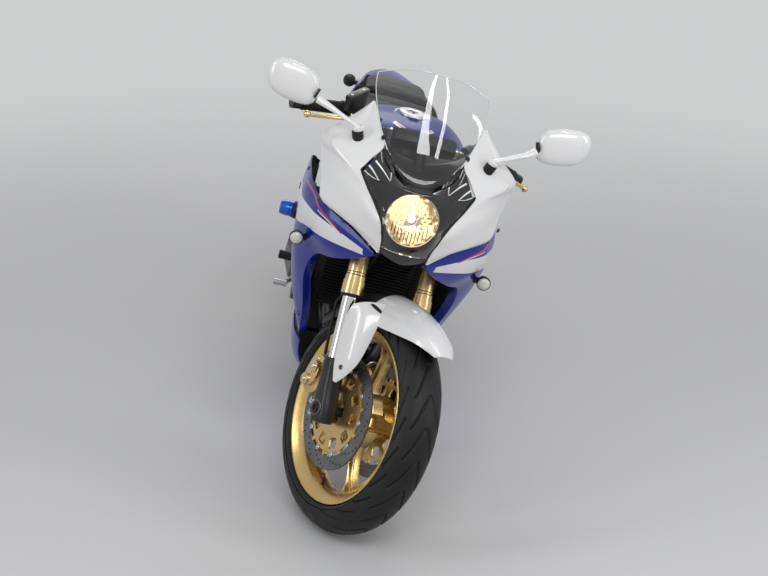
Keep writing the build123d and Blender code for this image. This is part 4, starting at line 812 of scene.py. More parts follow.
# Blue side cowls: y, then points (x, z) from the top edge down
side_rows = [(-34, (66, 754), (67, 752), (67, 750), (66, 748), (65, 746)),
             (20, (128, 780), (132, 770), (132, 756), (124, 730), (106, 706)),
             (90, (206, 802), (212, 784), (212, 756), (194, 710), (152, 668)),
             (150, (224, 806), (236, 780), (238, 742), (222, 694), (186, 645)),
             (230, (242, 812), (254, 778), (254, 720), (241, 640), (198, 557)),
             (300, (248, 816), (258, 762), (254, 690), (234, 560), (172, 424)),
             (360, (249, 812), (257, 755), (250, 670), (226, 510), (160, 330)),
             (430, (246, 806), (250, 745), (243, 660), (218, 500), (156, 318)),
             (500, (236, 786), (240, 730), (234, 650), (212, 520), (168, 386)),
             (560, (226, 762), (229, 735), (226, 700), (218, 650), (208, 606)),
             (620, (212, 738), (213, 733), (213, 728), (212, 723), (211, 718))]
side_grid = smooth_grid([[(x, row[0], z) for x, z in row[1:]] for row in side_rows], 7, 9)
flanks = Build("side_cowl_shells", "chassis", "blue_gloss")
# The lower lip turns inward along the front of the cowl, as far as its seventh row
edge_rows = 7 * 6 + 1
for side in sides:
    g = side_grid * (side, 1, 1)
    flanks.panel(g, skin, (-side, 0, 0), "blue_gloss", "black_plastic")
    edge = g[:edge_rows, -1, :]
    lip = np.stack([edge, edge + np.array([-side * 9, 2, 1.5]), edge + np.array([-side * 20, 9, 6])],
                   axis=1)
    flanks.panel(lip, 2.4, (0, 0.4, 1), "blue_gloss", "black_plastic")
    bvh = bvh_of([g])
    ray = (-side, 0, 0)
    # White stripe, wide at the back and pointed at the front
    decal(flanks, bvh, on_side(side, [(240, 512, 741), (246, 440, 756), (250, 340, 765), (250, 226, 762),
                                      (236, 149, 767), (196, 76, 767), (145, 31, 757), (92, -12, 748)]),
                                      on_side(side, [(240, 512, 739), (246, 440, 722), (250, 340, 696),
                                              (250, 230, 694), (225, 143, 715), (180, 80, 720),
                                              (144, 40, 724), (92, -10, 733)]), ray, "stripe_white", 10, 6)
    # Red pinstripe with a pale line under its front end
    decal(flanks, bvh, on_side(side, [(250, 256, 799), (222, 128, 797), (185, 67, 780), (146, 33, 757)]),
          on_side(side, [(250, 256, 795), (222, 128, 792.5), (185, 67, 775), (146, 33, 754)]), ray,
          "stripe_red", 10, 2)
    decal(flanks, bvh, on_side(side, [(200, 96, 781), (185, 67, 774), (146, 33, 753)]),
          on_side(side, [(200, 96, 779), (185, 67, 771.5), (146, 33, 751)]), ray, "stripe_white", 10, 2)
    for y, z in ((120, 800), (318, 806), (548, 742), (330, 396), (470, 420)):
        hit, normal, _, _ = bvh.ray_cast(Vector((side * 500, y, z)), Vector((-side, 0, 0)))
        if hit:
            out = normal if normal.x * side > 0 else -normal
            flanks.bolt(tuple(hit), tuple(out), 5.5, 2.5, "dark_steel")
flanks.done(["side_cowls"])

# Belly cowl
belly_rows = [(372, 152, 300, 142, 250, 92, 222), (430, 166, 300, 156, 240, 104, 198),
              (520, 170, 290, 162, 234, 108, 192), (640, 168, 276, 158, 230, 106, 190),
              (735, 156, 256, 148, 226, 100, 192)]
belly_pts = [full_row([(wr, y, zr), (wf, y, zf), ((wf + wl) / 2 + 8, y, (zf + zl) / 2 - 8), (wl, y, zl)],
                      (0, y, zl - 1)) for y, wr, zr, wf, zf, wl, zl in belly_rows]
belly = Build("belly_cowl_shell", "chassis", "blue_gloss")
belly_grid = smooth_grid(belly_pts, 8, 5)
belly.panel(belly_grid, skin, (0, 0, 1), "blue_gloss", "black_plastic")
for side in sides:
    belly.bolt((side * 161, 500, 275), (side, 0, 0), 5.5, 4, "dark_steel")
    belly.bolt((side * 158, 640, 262), (side, 0, 0), 5.5, 4, "dark_steel")
belly.done(["belly_cowl"])

# Headlight: clear lens and its gaskets, warm bowl with bulb and bars, dark housing with the chin
lens_rows = [(786, (56, -68), (34, -84), -88), (815, (62, -79), (38, -100), -106),
             (850, (71, -86), (42, -104), -110), (876, (92, -49), (52, -82), -94),
             (900, (116, -10), (64, -48), -64), (922, (138, 34), (76, -6), -24)]
lens_pts = [full_row([(*e, z), (*q, z)], (0, c, z)) for z, e, q, c in lens_rows]
lens_grid = smooth_grid(lens_pts, 7, 10)
lens = Build("headlight_lens_clear", "chassis", "clear_screen")
lens.panel(lens_grid, 2.6, (0, 1, 0))
lens.done(["headlight_lens"])
gasket = Build("headlight_gasket", "chassis", "black_rubber")
for column, out in ((0, -1), (-1, 1)):
    gasket.tube(lens_grid[:, column] + np.array([out * 2.5, 3.0, 0]), 3.4, "black_rubber", 8)
gasket.done()

lamp_at, lamp_dir = (0, -36, 857), Vector((0, -0.985, 0.17))
bowl = Build("headlight_bowl", "chassis", "reflector")
petals, rings_n = 72, 9
bulb_hole, bowl_r, bowl_deep = 9, 62, 38
x_axis = Vector((1, 0, 0))
y_axis = lamp_dir.cross(x_axis)
rings = []
for i in range(rings_n + 1):
    k = i / rings_n
    r, deep = bulb_hole + (bowl_r - bulb_hole) * k, -bowl_deep * (1 - k * k)
    ring = []
    for j in range(petals):
        a = 2 * math.pi * j / petals
        ripple = 2.0 * math.cos(12 * a + (math.pi if i % 2 else 0)) * (0.3 + k) * (1 - k ** 6)
        p = Vector(lamp_at) + lamp_dir * (deep + ripple)
        ring.append(list(p + x_axis * (r * math.cos(a)) + y_axis * (r * math.sin(a))))
    rings.append(ring)
bowl.grid(np.array(rings), "reflector", closed_b=True)


def behind_bowl(p):
    """Point on the back of the bowl for one on its face."""
    return list(Vector(p) - lamp_dir * 3 + (Vector(p) - Vector(lamp_at)).normalized() * 1.5)


outer = [[behind_bowl(p) for p in ring] for ring in rings]
bowl.grid(np.array(outer)[::-1], "black_plastic", closed_b=True)
bowl.lathe([(-2, 61.5), (1, 62.5), (3, 63), (3, 64.5), (-8, 64.5)], lamp_at, lamp_dir, "chrome", 72,
           close=False)
bowl.lathe([(-38, 9), (-20, 9), (-12, 8), (-6, 5), (-4, 0)], lamp_at, lamp_dir, "bulb", 24)
bowl.lathe([(-6, 12), (-4, 13.5), (-2, 13.5), (-2, 12)], lamp_at, lamp_dir, "chrome", 32, close=False)
for k in range(-5, 6):
    x = k * 8.6
    low = -math.sqrt(58 ** 2 - x * x) + 3
    rise_axis = y_axis if y_axis.z > 0 else -y_axis
    p = Vector(lamp_at) + x_axis * x + rise_axis * min(low + 26, -10)
    q = Vector(lamp_at) + x_axis * x + rise_axis * low
    bowl.tube([list(p - lamp_dir * 4), list((p + q) / 2 - lamp_dir), list(q + lamp_dir)], 1.2,
              "black_plastic", 8)
bowl.done(["headlight_reflector"])

housing = Build("headlight_shell", "chassis", "grey_plastic")
inner_rows = [[(p[0] * 0.965, p[1] + 6, p[2]) for p in row] for row in lens_pts]
deep_rows = [[(x * 0.90, 70 - 0.2 * abs(x) + (z - 786) * 0.35, z) for x, _, z in row] for row in lens_pts]
for side in sides:
    end = 0 if side < 0 else -1
    ends = [(np.array(row[end]), np.array(deep[end])) for row, deep in zip(inner_rows, deep_rows)]
    wall = smooth_grid([[front, (front + rear) / 2, rear] for front, rear in ends], 5, 5)
    housing.panel(wall, 2.5, (side, 0, 0), "black_plastic")
housing.panel(smooth_grid(deep_rows, 5, 6), 2.5, (0, 1, 0), "black_plastic")
for end, way in ((0, -1), (-1, 1)):
    housing.panel(smooth_grid([inner_rows[end], deep_rows[end]], 6, 6), 2.5, (0, 0, way), "black_plastic")
chin_rows = [(752, 26, -48, -66), (764, 46, -56, -80), (783, 54, -66, -86)]
chin = [full_row([(w, 20, z), (w, e, z), (w * 0.5, (e + c) / 2 - 3, z)], (0, c, z)) for z, w, e,
        c in chin_rows]
chin_grid = smooth_grid(chin, 6, 6)
housing.panel(chin_grid, 3.0, (0, 1, 0), "grey_plastic")
housing.panel(smooth_grid([[(x, y, 752) for x, y, _ in chin[0]],
                           [(x * 0.9, 30, 756) for x, y, _ in chin[0]]], 4, 6), 3.0, (0, 0, 1),
                           "grey_plastic")
rim_line = smooth_line([(x, y - 1.0, z + 0.5) for x, y, z in chin[2]], 6)
housing.tube(rim_line, 1.6, "grey_plastic", 8)
housing.done(["headlight_housing"])

# Screen and the black cockpit below it
screen_rows = [((34, 27, 926), (18, 22, 923), (20, 922)), ((78, 59, 962), (44, 36, 948), (30, 942)),
               ((100, 91, 991), (57, 60, 974), (52, 968)), ((120, 145, 1024), (69, 108, 1014), (98, 1010)),
               ((138, 203, 1058), (79, 158, 1062), (146, 1062)),
               ((152, 276, 1092), (88, 214, 1110), (200, 1112)),
               ((144, 280, 1106), (66, 258, 1140), (246, 1147))]
screen_pts = [full_row([e, q], (0, *c)) for e, q, c in screen_rows]
# One even sweep from bottom to top: a third-degree curve nearest to each column of points
powers = np.vander(np.linspace(0, 1, len(screen_pts)), 4)
even = powers @ np.linalg.pinv(powers)
screen_grid = smooth_grid(np.einsum("ab,bjk->ajk", even, np.array(screen_pts, float)), 8, 10)
screen = Build("windscreen_clear", "chassis", "clear_screen")
screen.panel(screen_grid, 2.6, (0, 1, -0.6))
seal_rows = 13
border = np.concatenate([screen_grid[:seal_rows, 0][::-1], screen_grid[0, 1:-1],
                         screen_grid[:seal_rows, -1]])
screen.tube(border + np.array([0, -0.6, 0.4]), 2.2, "black_plastic", 8)
# Painted highlight: pale opaque beads along the screen's side and top edges stand for the light caught in
# them
for line in (screen_grid[seal_rows:, 0], screen_grid[seal_rows:, -1], screen_grid[-1, :]):
    screen.tube(line + np.array([0, 0.6, -0.6]), 1.5, "edge_clear", 8)
for x, y, z in ((72, 52, 956), (106, 104, 998)):
    for side in sides:
        screen.bolt((side * x, y - 2, z + 1), (side * 0.45, -0.75, 0.45), 5.5, 3, "black_plastic")
screen.done(["windscreen"])

cockpit = Build("cockpit_panels", "chassis", "black_plastic")
top_edge = full_row([(138, 34, 922), (110, 10, 922), (76, -6, 922), (38, -19, 922)], (0, -24, 922))
under_edge = full_row([(100, 94, 982), (84, 72, 962), (64, 50, 942), (34, 33, 922)], (0, 28, 917))
between = [tuple((np.array(a) + np.array(b)) / 2 + np.array([0, -3, 3])) for a,
           b in zip(top_edge, under_edge)]
bridge_grid = smooth_grid([top_edge, between, under_edge], 8, 5)
cockpit.panel(bridge_grid, 2.5, (0, 1, -1), "smoked", "black_plastic")
bridge_bvh = bvh_of([bridge_grid])
for side in sides:
    for line, wide in (([(112, 56, 948), (92, 30, 938), (73, 4, 926)], 2.6),
                       ([(73, 30, 937), (72, 18, 931), (72, 5, 926)], 1.8),
                       ([(126, 46, 938), (112, 26, 930), (98, 4, 919)], 3.0),
                       ([(134, 38, 925), (118, 20, 921), (100, 4, 918)], 1.6)):
        strip = []
        for p in smooth_line(line, 6):
            hit, normal, _, _ = bridge_bvh.find_nearest(Vector((side * p[0], p[1], p[2])))
            strip.append(list(hit + (normal if normal.y < 0 else -normal) * 0.6))
        cockpit.tube(strip, np.linspace(wide, wide * 0.35, len(strip)), "position_lamp", 8)
tray = [full_row([(96, 92, 976), (50, 62, 940)], (0, 50, 922)),
        full_row([(110, 150, 978), (60, 120, 946)], (0, 112, 932)),
        full_row([(128, 205, 982), (64, 185, 948)], (0, 176, 938))]
cockpit.panel(smooth_grid(tray, 6, 6), 2.5, (0, 0.4, -1))
for side in sides:
    lid = on_side(side, [[(100, 96, 984), (128, 70, 948), (150, 58, 926)],
                         [(112, 150, 990), (168, 140, 960), (214, 156, 930)],
                         [(128, 205, 984), (170, 214, 950), (216, 220, 918)]])
    cockpit.panel(smooth_grid(lid, 6, 6), 2.5, (0, 0.4, -1), "grey_plastic")
cockpit.done()

dash = Build("instrument_cluster", "chassis", "black_plastic")
dash_tilt = Vector((0, 0.62, 0.78)).normalized()
dash_at = Vector((0, 190, 992))
dash.slab(smooth_line([(-80, -24, 0), (-76, 22, 0), (-30, 34, 0), (30, 34, 0), (76, 22, 0), (80, -24, 0),
                       (40, -34, 0), (-40, -34, 0)], 5, closed=True)[:, :2], dash_at - dash_tilt * 26,
                       (1, 0, 0), dash_tilt, 32, 4)
dash.lathe([(5, 27), (8.5, 28), (8.5, 25.5), (6.6, 25), (6.6, 0)], dash_at + Vector((-40, 0, 0)), dash_tilt,
           "dial", 40)
dash.slab([(-34, -20), (34, -20), (34, 20), (-34, 20)], dash_at + dash_tilt * 5 + Vector((36, 0, 0)),
          (1, 0, 0), dash_tilt, 3, 1, "dial")
for k in range(11):
    a = math.radians(220 - 26 * k)
    side_v = Vector((1, 0, 0)) * math.cos(a) + dash_tilt.cross(Vector((1, 0, 0))) * math.sin(a)
    c = dash_at + Vector((-40, 0, 0)) + dash_tilt * 6.6
    dash.tube([list(c + side_v * 19), list(c + side_v * 21), list(c + side_v * 23)], 0.6, "stripe_white", 6)
dash.tube([(0, 168, 962), (0, 150, 944), (0, 128, 922)], 14, "black_plastic", 16)
dash.done(["instrument"])

# Mirrors: shell of slices, glass left as the flat insert, arms and boots
mirror_places = {-1: (-350, 150, 1064), 1: (336, 150, 1072)}
mirror_rows = [(-64, 7, 19), (-60, 12, 29), (-50, 18, 39), (-28, 22, 46), (0, 24, 48), (28, 23, 46),
               (46, 18, 40), (58, 12, 29), (64, 6, 17)]
mirror_tilt = 0.17
shells = Build("mirror_shells", "chassis", "white_gloss")
for side in sides:
    c = mirror_places[side]
    rings = []
    for dx, deep, high in mirror_rows:
        ring = []
        for k in range(24):
            a = 2 * math.pi * k / 24
            ca, sa = math.cos(a), math.sin(a)
            y = -deep * max(ca, 0) ** 0.8 if ca > 0 else 0.0
            z = high * math.copysign(abs(sa) ** 0.9, sa)
            ring.append((c[0] + side * dx, c[1] + 10 + y, c[2] + z + dx * mirror_tilt))
        rings.append(ring)
    shells.solid(smooth_grid(rings, 4, 1, closed_b=True))
    inner_x = c[0] - side * 62
    shells.lathe([(0, 13), (5, 13.5), (6, 12)], (inner_x + side * 2, c[1] + 2, c[2] - 12),
                 (-side, -0.15, -0.35), "black_plastic", 24)
    rise = 0 if side < 0 else 7
    arm = smooth_line(on_side(side, [(168, 119, 1003), (196, 125, 1012 + rise * 0.2),
                                     (226, 132, 1022 + rise * 0.5), (254, 139, 1031 + rise * 0.8),
                                     ((282 if side < 0 else 270), 147, 1039 + rise)]), 6)
    ring_rows = []
    t = np.gradient(arm, axis=0)
    for p, d, k in zip(arm, t, np.linspace(0, 1, len(arm))):
        d = Vector(d).normalized()
        n = Vector((0, 1, 0)) - d * d.y
        n.normalize()
        m = d.cross(n)
        w = 9.5 - 2.5 * math.sin(math.pi * min(k * 1.2, 1)) + 3 * k
        h = 5.0 + 5.5 * k * k
        ring_rows.append([[p[i] + w * math.cos(a) * n[i] + h * math.sin(a) * m[i] for i in range(3)]
                          for a in np.radians(np.arange(0, 360, 20))])
    shells.solid(np.array(ring_rows))
    shells.lathe([(-4, 13), (0, 14.5), (5, 14.5), (7, 13), (7, 8), (4, 7.6), (4, 0)],
                 (side * 171, 119, 1000), (side * 0.33, -0.06, 0.94), "white_gloss", 32)
    shells.lathe([(3.6, 0), (3.6, 7.4), (4.4, 7.4), (4.4, 0)], (side * 171, 119, 1000),
                 (side * 0.33, -0.06, 0.94), "black_plastic", 24)
shells.done(["mirrors"])

# Bars: ribbed grips, bar ends, levers, switch boxes, reservoir
bar_in, bar_out = (176, 354, 967), (348, 356, 932)


def on_bar(side, k):
    return Vector((side * (bar_in[0] + (bar_out[0] - bar_in[0]) * k),
                   bar_in[1] + (bar_out[1] - bar_in[1]) * k, bar_in[2] + (bar_out[2] - bar_in[2]) * k))


bar_length = (Vector(bar_out) - Vector(bar_in)).length
grips = Build("grips_ribbed", "steering", "black_rubber")
for side in sides:
    run = (on_bar(side, 1) - on_bar(side, 0)).normalized()
    profile = [(0.33, 12), (0.33, 19), (0.355, 19.4), (0.362, 17)]
    for k in range(19):
        a = 0.37 + k * 0.031
        profile += [(a, 15.6), (a + 0.005, 16.6), (a + 0.021, 16.6), (a + 0.026, 15.6)]
    profile += [(0.972, 17.4), (0.985, 17.4), (0.986, 12)]
    grips.lathe([(k * bar_length, r) for k, r in profile], on_bar(side, 0), run, "black_rubber", 28)
    grips.lathe([(1.002 * bar_length, 11), (1.004 * bar_length, 14.6), (1.13 * bar_length, 15),
                 (1.15 * bar_length, 13), (1.15 * bar_length, 6), (1.14 * bar_length, 5.6),
                 (1.14 * bar_length, 0)], on_bar(side, 0), run, "black_metal", 28)
grips.done(["grips"])

levers = Build("levers_forged", "steering", "gold_anodised")
for side in sides:
    pts = smooth_line(on_side(side, [(222, 306, 957), (236, 300, 954), (262, 292, 948), (300, 289, 940),
                                     (330, 291, 933), (348, 294, 929)]), 6)
    rings = []
    for p, k in zip(pts, np.linspace(0, 1, len(pts))):
        d, h = 9 - 4.5 * k, 4.8 + 0.4 * k
        rings.append([[p[0], p[1] + d * math.cos(a), p[2] + h * math.sin(a)]
                      for a in np.radians(np.arange(0, 360, 24))])
    levers.solid(np.array(rings))
    ball = [(-9 * math.cos(a), 9 * math.sin(a)) for a in np.linspace(0, math.pi, 12)]
    levers.lathe(ball, (side * 355, 294, 927.5), (side, 0, -0.2), "gold_anodised", 24)
    levers.lathe([(-7, 8), (7, 8), (8, 6)], (side * 228, 306, 956), (0, 0.1, 1), "silver", 20)
levers.done(["levers"])

reservoir_cap = [(-257, 300, 1001), (-198, 332, 1030)]
reservoir_base = [(-249, 300, 964), (-188, 320, 964)]
controls = Build("bar_controls_moulded", "steering", "black_metal")
for side in sides:
    run = (on_bar(side, 1) - on_bar(side, 0)).normalized()
    controls.lathe([(0.075 * bar_length, 15), (0.08 * bar_length, 20), (0.16 * bar_length, 20),
                    (0.165 * bar_length, 15)], on_bar(side, 0), run, "black_metal", 28)
    controls.lathe([(0.17 * bar_length, 13), (0.175 * bar_length, 17), (0.295 * bar_length, 17),
                    (0.30 * bar_length, 13)], on_bar(side, 0), run, "grey_plastic", 28)
    controls.bolt(tuple(on_bar(side, 0.12) + Vector((0, -19, 2))), (0, -1, 0.1), 3.5, 3, "silver")
    controls.tube(on_side(side, [(214, 340, 958), (214, 326, 959), (214, 312, 959)]), 9.5, "black_metal",
                  16)
    controls.lathe([(0, 9), (1, 12), (29, 12), (30, 10)], (side * 199, 312, 961.5), (side, 0, -0.18),
                   "black_metal", 24)
    controls.slab([(-13, -9), (13, -9), (13, 9), (-13, 9)], on_bar(side, 0.235) + Vector((0, 6, 14)), run,
                  (0, 0.3, 1), 7, 2, "grey_plastic")
    controls.lathe([(0, 3.4), (4, 3.2), (4.6, 2)], on_bar(side, 0.22) + Vector((0, 6, 21)), (0, 0.3, 1),
                   "red_cap" if side < 0 else "silver", 14)
bx, cx = [Vector(p) for p in reservoir_base], [Vector(p) for p in reservoir_cap]
deep = Vector((-8, 20, -2))
rings = []
for k, grow in ((0.0, -4), (0.03, -1), (0.08, 0), (0.74, 0), (0.75, 2.0), (0.94, 2.0), (0.985, 0.5),
                (1.0, -3)):
    p0, p1 = bx[0].lerp(cx[0], k), bx[1].lerp(cx[1], k)
    mid = (p0 + p1) / 2 + deep / 2
    w, d = (p1 - p0) / 2, deep / 2
    w, d = w.normalized() * (w.length + grow), d.normalized() * (d.length + grow)
    rings.append([list(mid + w * u + d * v) for u, v in rounded_square(5)])
controls.solid(np.array(rings))
controls.tube(smooth_line([(-222, 309, 957), (-223, 312, 962), (-224, 316, 968)], 4), 7, "black_rubber", 14)
for k in (0.2, 0.8):
    controls.bolt(tuple(cx[0].lerp(cx[1], k) + deep * 0.5 + Vector((0, 0, -1.5))),
                  tuple((cx[0] - bx[0]).normalized()), 3, 2, "silver")
controls.done(["bar_controls"])

# Fuel tank: y, base half width and z, widest half width and z, shoulder half width and z, top z
tank_rows = [(392, 96, 832, 118, 858, 80, 884, 892), (450, 128, 816, 160, 862, 104, 912, 926),
             (540, 140, 800, 180, 860, 106, 926, 940), (640, 130, 792, 176, 850, 104, 922, 936),
             (740, 104, 786, 144, 832, 86, 892, 906), (820, 84, 786, 108, 816, 68, 856, 866),
             (862, 72, 786, 86, 810, 58, 832, 838)]
cap_y, cap_z = 582.0, 935.0
tank_pts = []
for y, wb, zb, wm, zm, ws, zs, zt in tank_rows:
    right = [(wb, zb), (wm - 2, zm), ((wm + ws) / 2 + 7, (zm + zs) / 2 + 7), (ws, zs),
             (ws * 0.45, zt - (zt - zs) * 0.12)]
    tank_pts.append([(x, y, z) for x, z in right] + [(-x, y, z) for x, z in reversed(right)])
tank_grid = smooth_grid(tank_pts, 9, 6, sharp_b=(0, 9), closed_b=True)
tank = Build("fuel_tank_shell", "chassis", "tank_blue")
tank.solid(tank_grid)
tank.lathe([(-22, 50), (-3, 53.5), (1, 54), (4, 52.5), (4, 44), (2.5, 43.5), (2.5, 26), (-14, 25),
            (-14, 0)], (0, cap_y, cap_z), (0, 0, 1), "alloy", 64)
for k in range(6):
    a = math.radians(60 * k + 30)
    tank.bolt((48 * math.sin(a), cap_y + 48 * math.cos(a), cap_z + 4), (0, 0, 1), 3, 2.2, "silver")
tank_bvh = bvh_of([tank_grid])
for side in sides:
    decal(tank, tank_bvh, on_side(side, [(160, 430, 862), (180, 500, 870), (180, 600, 870),
                                         (160, 700, 858)]),
                                         on_side(side, [(160, 452, 846), (180, 510, 850), (180, 600, 852),
                                                 (160, 700, 850)]), (-side, 0, 0), "stripe_white", 10, 5)
    decal(tank, tank_bvh, on_side(side, [(58, 486, 950), (32, 456, 950), (1, 436, 950)]),
          on_side(side, [(50, 498, 950), (28, 472, 950), (1, 454, 950)]), (0, 0, -1), "stripe_white", 8, 3)
    decal(tank, tank_bvh, on_side(side, [(48, 484, 950), (28, 461, 950), (1, 443, 950)]),
          on_side(side, [(46, 489, 950), (27, 466, 950), (1, 448, 950)]), (0, 0, -1), "stripe_red", 8, 2,
          0.9)
tank.done(["fuel_tank"])
lid = Build("fuel_cap_lid", "fuel_cap", "alloy")
lid.lathe([(4.5, 38), (5, 39.8), (9, 40), (12, 38.5), (13.4, 35), (13.6, 14), (12.6, 12.5), (12.6, 0)],
          (0, cap_y, cap_z), (0, 0, 1), "alloy", 64)
lid.slab([(-14, -8), (14, -8), (14, 8), (-14, 8)], (0, cap_y + 14, cap_z + 13.2), (1, 0, 0), (0, 0, 1), 2.4,
         1, "silver")
lid.lathe([(0, 5), (1.4, 5), (1.8, 3.6), (0.8, 3.2), (0.8, 0)], (0, cap_y - 10, cap_z + 13.2), (0, 0, 1),
          "black_metal", 24)
lid.lathe([(-13, 4.6), (13, 4.6)], (0, cap_y - 46, cap_z + 10), (1, 0, 0), "alloy", 20)
lid.slab([(-11, -7), (11, -7), (11, 7), (-11, 7)], (0, cap_y - 41, cap_z + 6), (1, 0, 0), (0, 0, 1), 6.5, 1,
         "alloy")
lid.done(["fuel_cap"])

# Tail: side panels, top, lamp, plate
tail_rows = [(800, (92, 786), (104, 752), (98, 706)), (900, (108, 762), (118, 730), (106, 688)),
             (1010, (136, 756), (142, 728), (120, 690)), (1120, (144, 782), (150, 752), (122, 706)),
             (1180, (136, 802), (144, 768), (118, 716)), (1300, (108, 806), (124, 778), (100, 728)),
             (1430, (90, 796), (104, 772), (82, 728)), (1560, (66, 782), (80, 762), (62, 728)),
             (1650, (40, 768), (48, 754), (38, 730))]
tail_grid = smooth_grid([[(a[0], y, a[1]), (m[0], y, m[1]), (b[0], y, b[1])] for y, a, m, b in tail_rows],
                        7, 8)
tail = Build("tail_cowl_shells", "chassis", "blue_gloss")
for side in sides:
    g = tail_grid * (side, 1, 1)
    tail.panel(g, skin, (-side, 0, 0), "blue_gloss", "black_plastic")
    bvh = bvh_of([g])
    decal(tail, bvh, on_side(side, [(150, 1090, 766), (140, 1250, 786), (100, 1450, 782), (60, 1600, 768)]),
          on_side(side, [(150, 1150, 735), (130, 1270, 754), (96, 1450, 760), (60, 1600, 760)]),
          (-side, 0, 0), "stripe_white", 10, 5)
    decal(tail, bvh, on_side(side, [(150, 1075, 772), (140, 1250, 793), (100, 1440, 788)]),
          on_side(side, [(150, 1075, 769), (140, 1250, 789), (100, 1440, 786)]), (-side, 0, 0),
          "stripe_red", 10, 2)
top_rows = [full_row([(88, 1462, 790), (40, 1462, 795)], (0, 1462, 796)),
            full_row([(68, 1550, 783), (36, 1550, 794)], (0, 1550, 797)),
            full_row([(41, 1652, 767), (20, 1652, 774)], (0, 1652, 776))]
tail.panel(smooth_grid(top_rows, 8, 6), skin, (0, 0, -1), "blue_gloss", "black_plastic")
tail.done(["tail_cowl"])
rear_lamp = Build("tail_lamp_lens", "chassis", "lamp_red")
lamp_rings = [(1626, 38, 734, 758), (1650, 36, 734, 760), (1664, 32, 736, 758), (1671, 26, 740, 754),
              (1674, 16, 744, 751)]
rear_lamp.solid(smooth_grid([[(w * math.cos(a), y, (lo + hi) / 2 + (hi - lo) / 2 * math.sin(a))
                              for a in np.radians(np.arange(0, 360, 18))] for y, w, lo, hi in lamp_rings],
                              3, 1, closed_b=True))
rear_lamp.done(["tail_lamp"])
plate = Build("plate_holder", "chassis", "plate_white")
pn = Vector((0, 0.925, 0.38)).normalized()
po = Vector((0, 1796, 624))
corner = []
for sx, sy in ((1, 1), (-1, 1), (-1, -1), (1, -1)):
    for a in np.radians(np.arange(0, 91, 15)):
        base = {(1, 1): 0, (-1, 1): 90, (-1, -1): 180, (1, -1): 270}[(sx, sy)]
        b = a + math.radians(base)
        corner.append((sx * 82 + 8 * math.cos(b), sy * 62 + 8 * math.sin(b)))
plate.slab(corner, po, (1, 0, 0), pn, 3, 0.8)
for sx in sides:
    for sy in sides:
        p = po + pn * 3 + Vector((sx * 62, 0, 0)) + pn.cross(Vector((1, 0, 0))) * sy * 44
        plate.bolt(tuple(p), tuple(pn), 3.5, 2, "silver")
plate.done(["number_plate"])


# Seats: swelled by a cloth run, then seams pressed in
voxel, cloth_frames = 0.006, 20


def seat(name, node, rows, cap, seams):
    """Padded cover. Rows: y, lower half width and z, upper half width and z. Seams: y, bend and depth."""
    pts = []
    for y, wl, zl, wh, zh in rows:
        right = [(wl - 6, zl), (wl, zl + 10), ((wl + wh) / 2 + 5, (zl + zh) / 2 + 4), (wh + 2, zh - 6),
                 (wh * 0.6, zh - 1)]
        pts.append([(x, y, z) for x, z in right] + [(-x, y, z) for x, z in reversed(right)])
    g = smooth_grid(pts, 6, 4, sharp_b=(0, 9), closed_b=True)
    mid = g.mean(axis=(0, 1))
    g = mid + (g - mid) * np.array([0.97, 0.985, 0.9])
    piece = Build(name, "chassis", "seat_cover")
    piece.solid(g)
    ob = piece.done([node], place=False)
    me = ob.data
    me.transform(Matrix.Scale(MM, 4))
    remesh = ob.modifiers.new("remesh", "REMESH")
    remesh.mode = "VOXEL"
    remesh.voxel_size = voxel
    bpy.context.view_layer.objects.active = ob
    bpy.ops.object.modifier_apply(modifier=remesh.name)
    before = np.array([v.co[:] for v in ob.data.vertices])
    cloth = ob.modifiers.new("cloth", "CLOTH")
    cloth.settings.use_pressure = True
    cloth.settings.uniform_pressure_force = 4.0
    cloth.settings.tension_stiffness = 20
    cloth.settings.effector_weights.gravity = 0.0
    cloth.point_cache.frame_start, cloth.point_cache.frame_end = 1, cloth_frames
    for f in range(1, cloth_frames + 1):
        scene.frame_set(f)
    after_ob = ob.evaluated_get(bpy.context.evaluated_depsgraph_get())
    after = np.array([v.co[:] for v in after_ob.data.vertices])
    move = after - before
    size = np.linalg.norm(move, axis=1, keepdims=True) + 1e-9
    move *= np.minimum(1.0, cap * MM / size)
    ob.modifiers.remove(cloth)
    scene.frame_set(1)
    for v, p in zip(ob.data.vertices, before + move):
        v.co = p
    # Sewn lines pressed into the cover
    co = np.array([v.co[:] for v in ob.data.vertices]) / MM
    for y0, bend, deep in seams:
        d = np.abs(co[:, 1] - y0 - bend * np.abs(co[:, 0]) / 100)
        press = np.clip(1 - d / 6, 0, 1) ** 2 * deep * (co[:, 2] > mid[2])
        co[:, 2] -= press
    for v, p in zip(ob.data.vertices, co * MM):
        v.co = p
    ob.data.transform(places["chassis"])
    sub = ob.modifiers.new("round", "SUBSURF")
    sub.levels = sub.render_levels = 1
    ob.data.polygons.foreach_set("use_smooth", [True] * len(ob.data.polygons))


rider_rows = [(868, 66, 802, 60, 834), (920, 98, 772, 84, 806), (1010, 124, 766, 104, 800),
              (1100, 132, 784, 112, 806), (1172, 128, 796, 104, 824)]
pillion_rows = [(1180, 104, 806, 90, 832), (1300, 98, 806, 86, 838), (1400, 84, 790, 72, 815),
                (1466, 60, 784, 48, 799)]
seat("rider_seat_pad", "rider_seat", rider_rows, 4, [(1110, 20, 4), (930, -10, 3)])
seat("pillion_seat_pad", "pillion_seat", pillion_rows, 3, [(1240, 14, 3)])

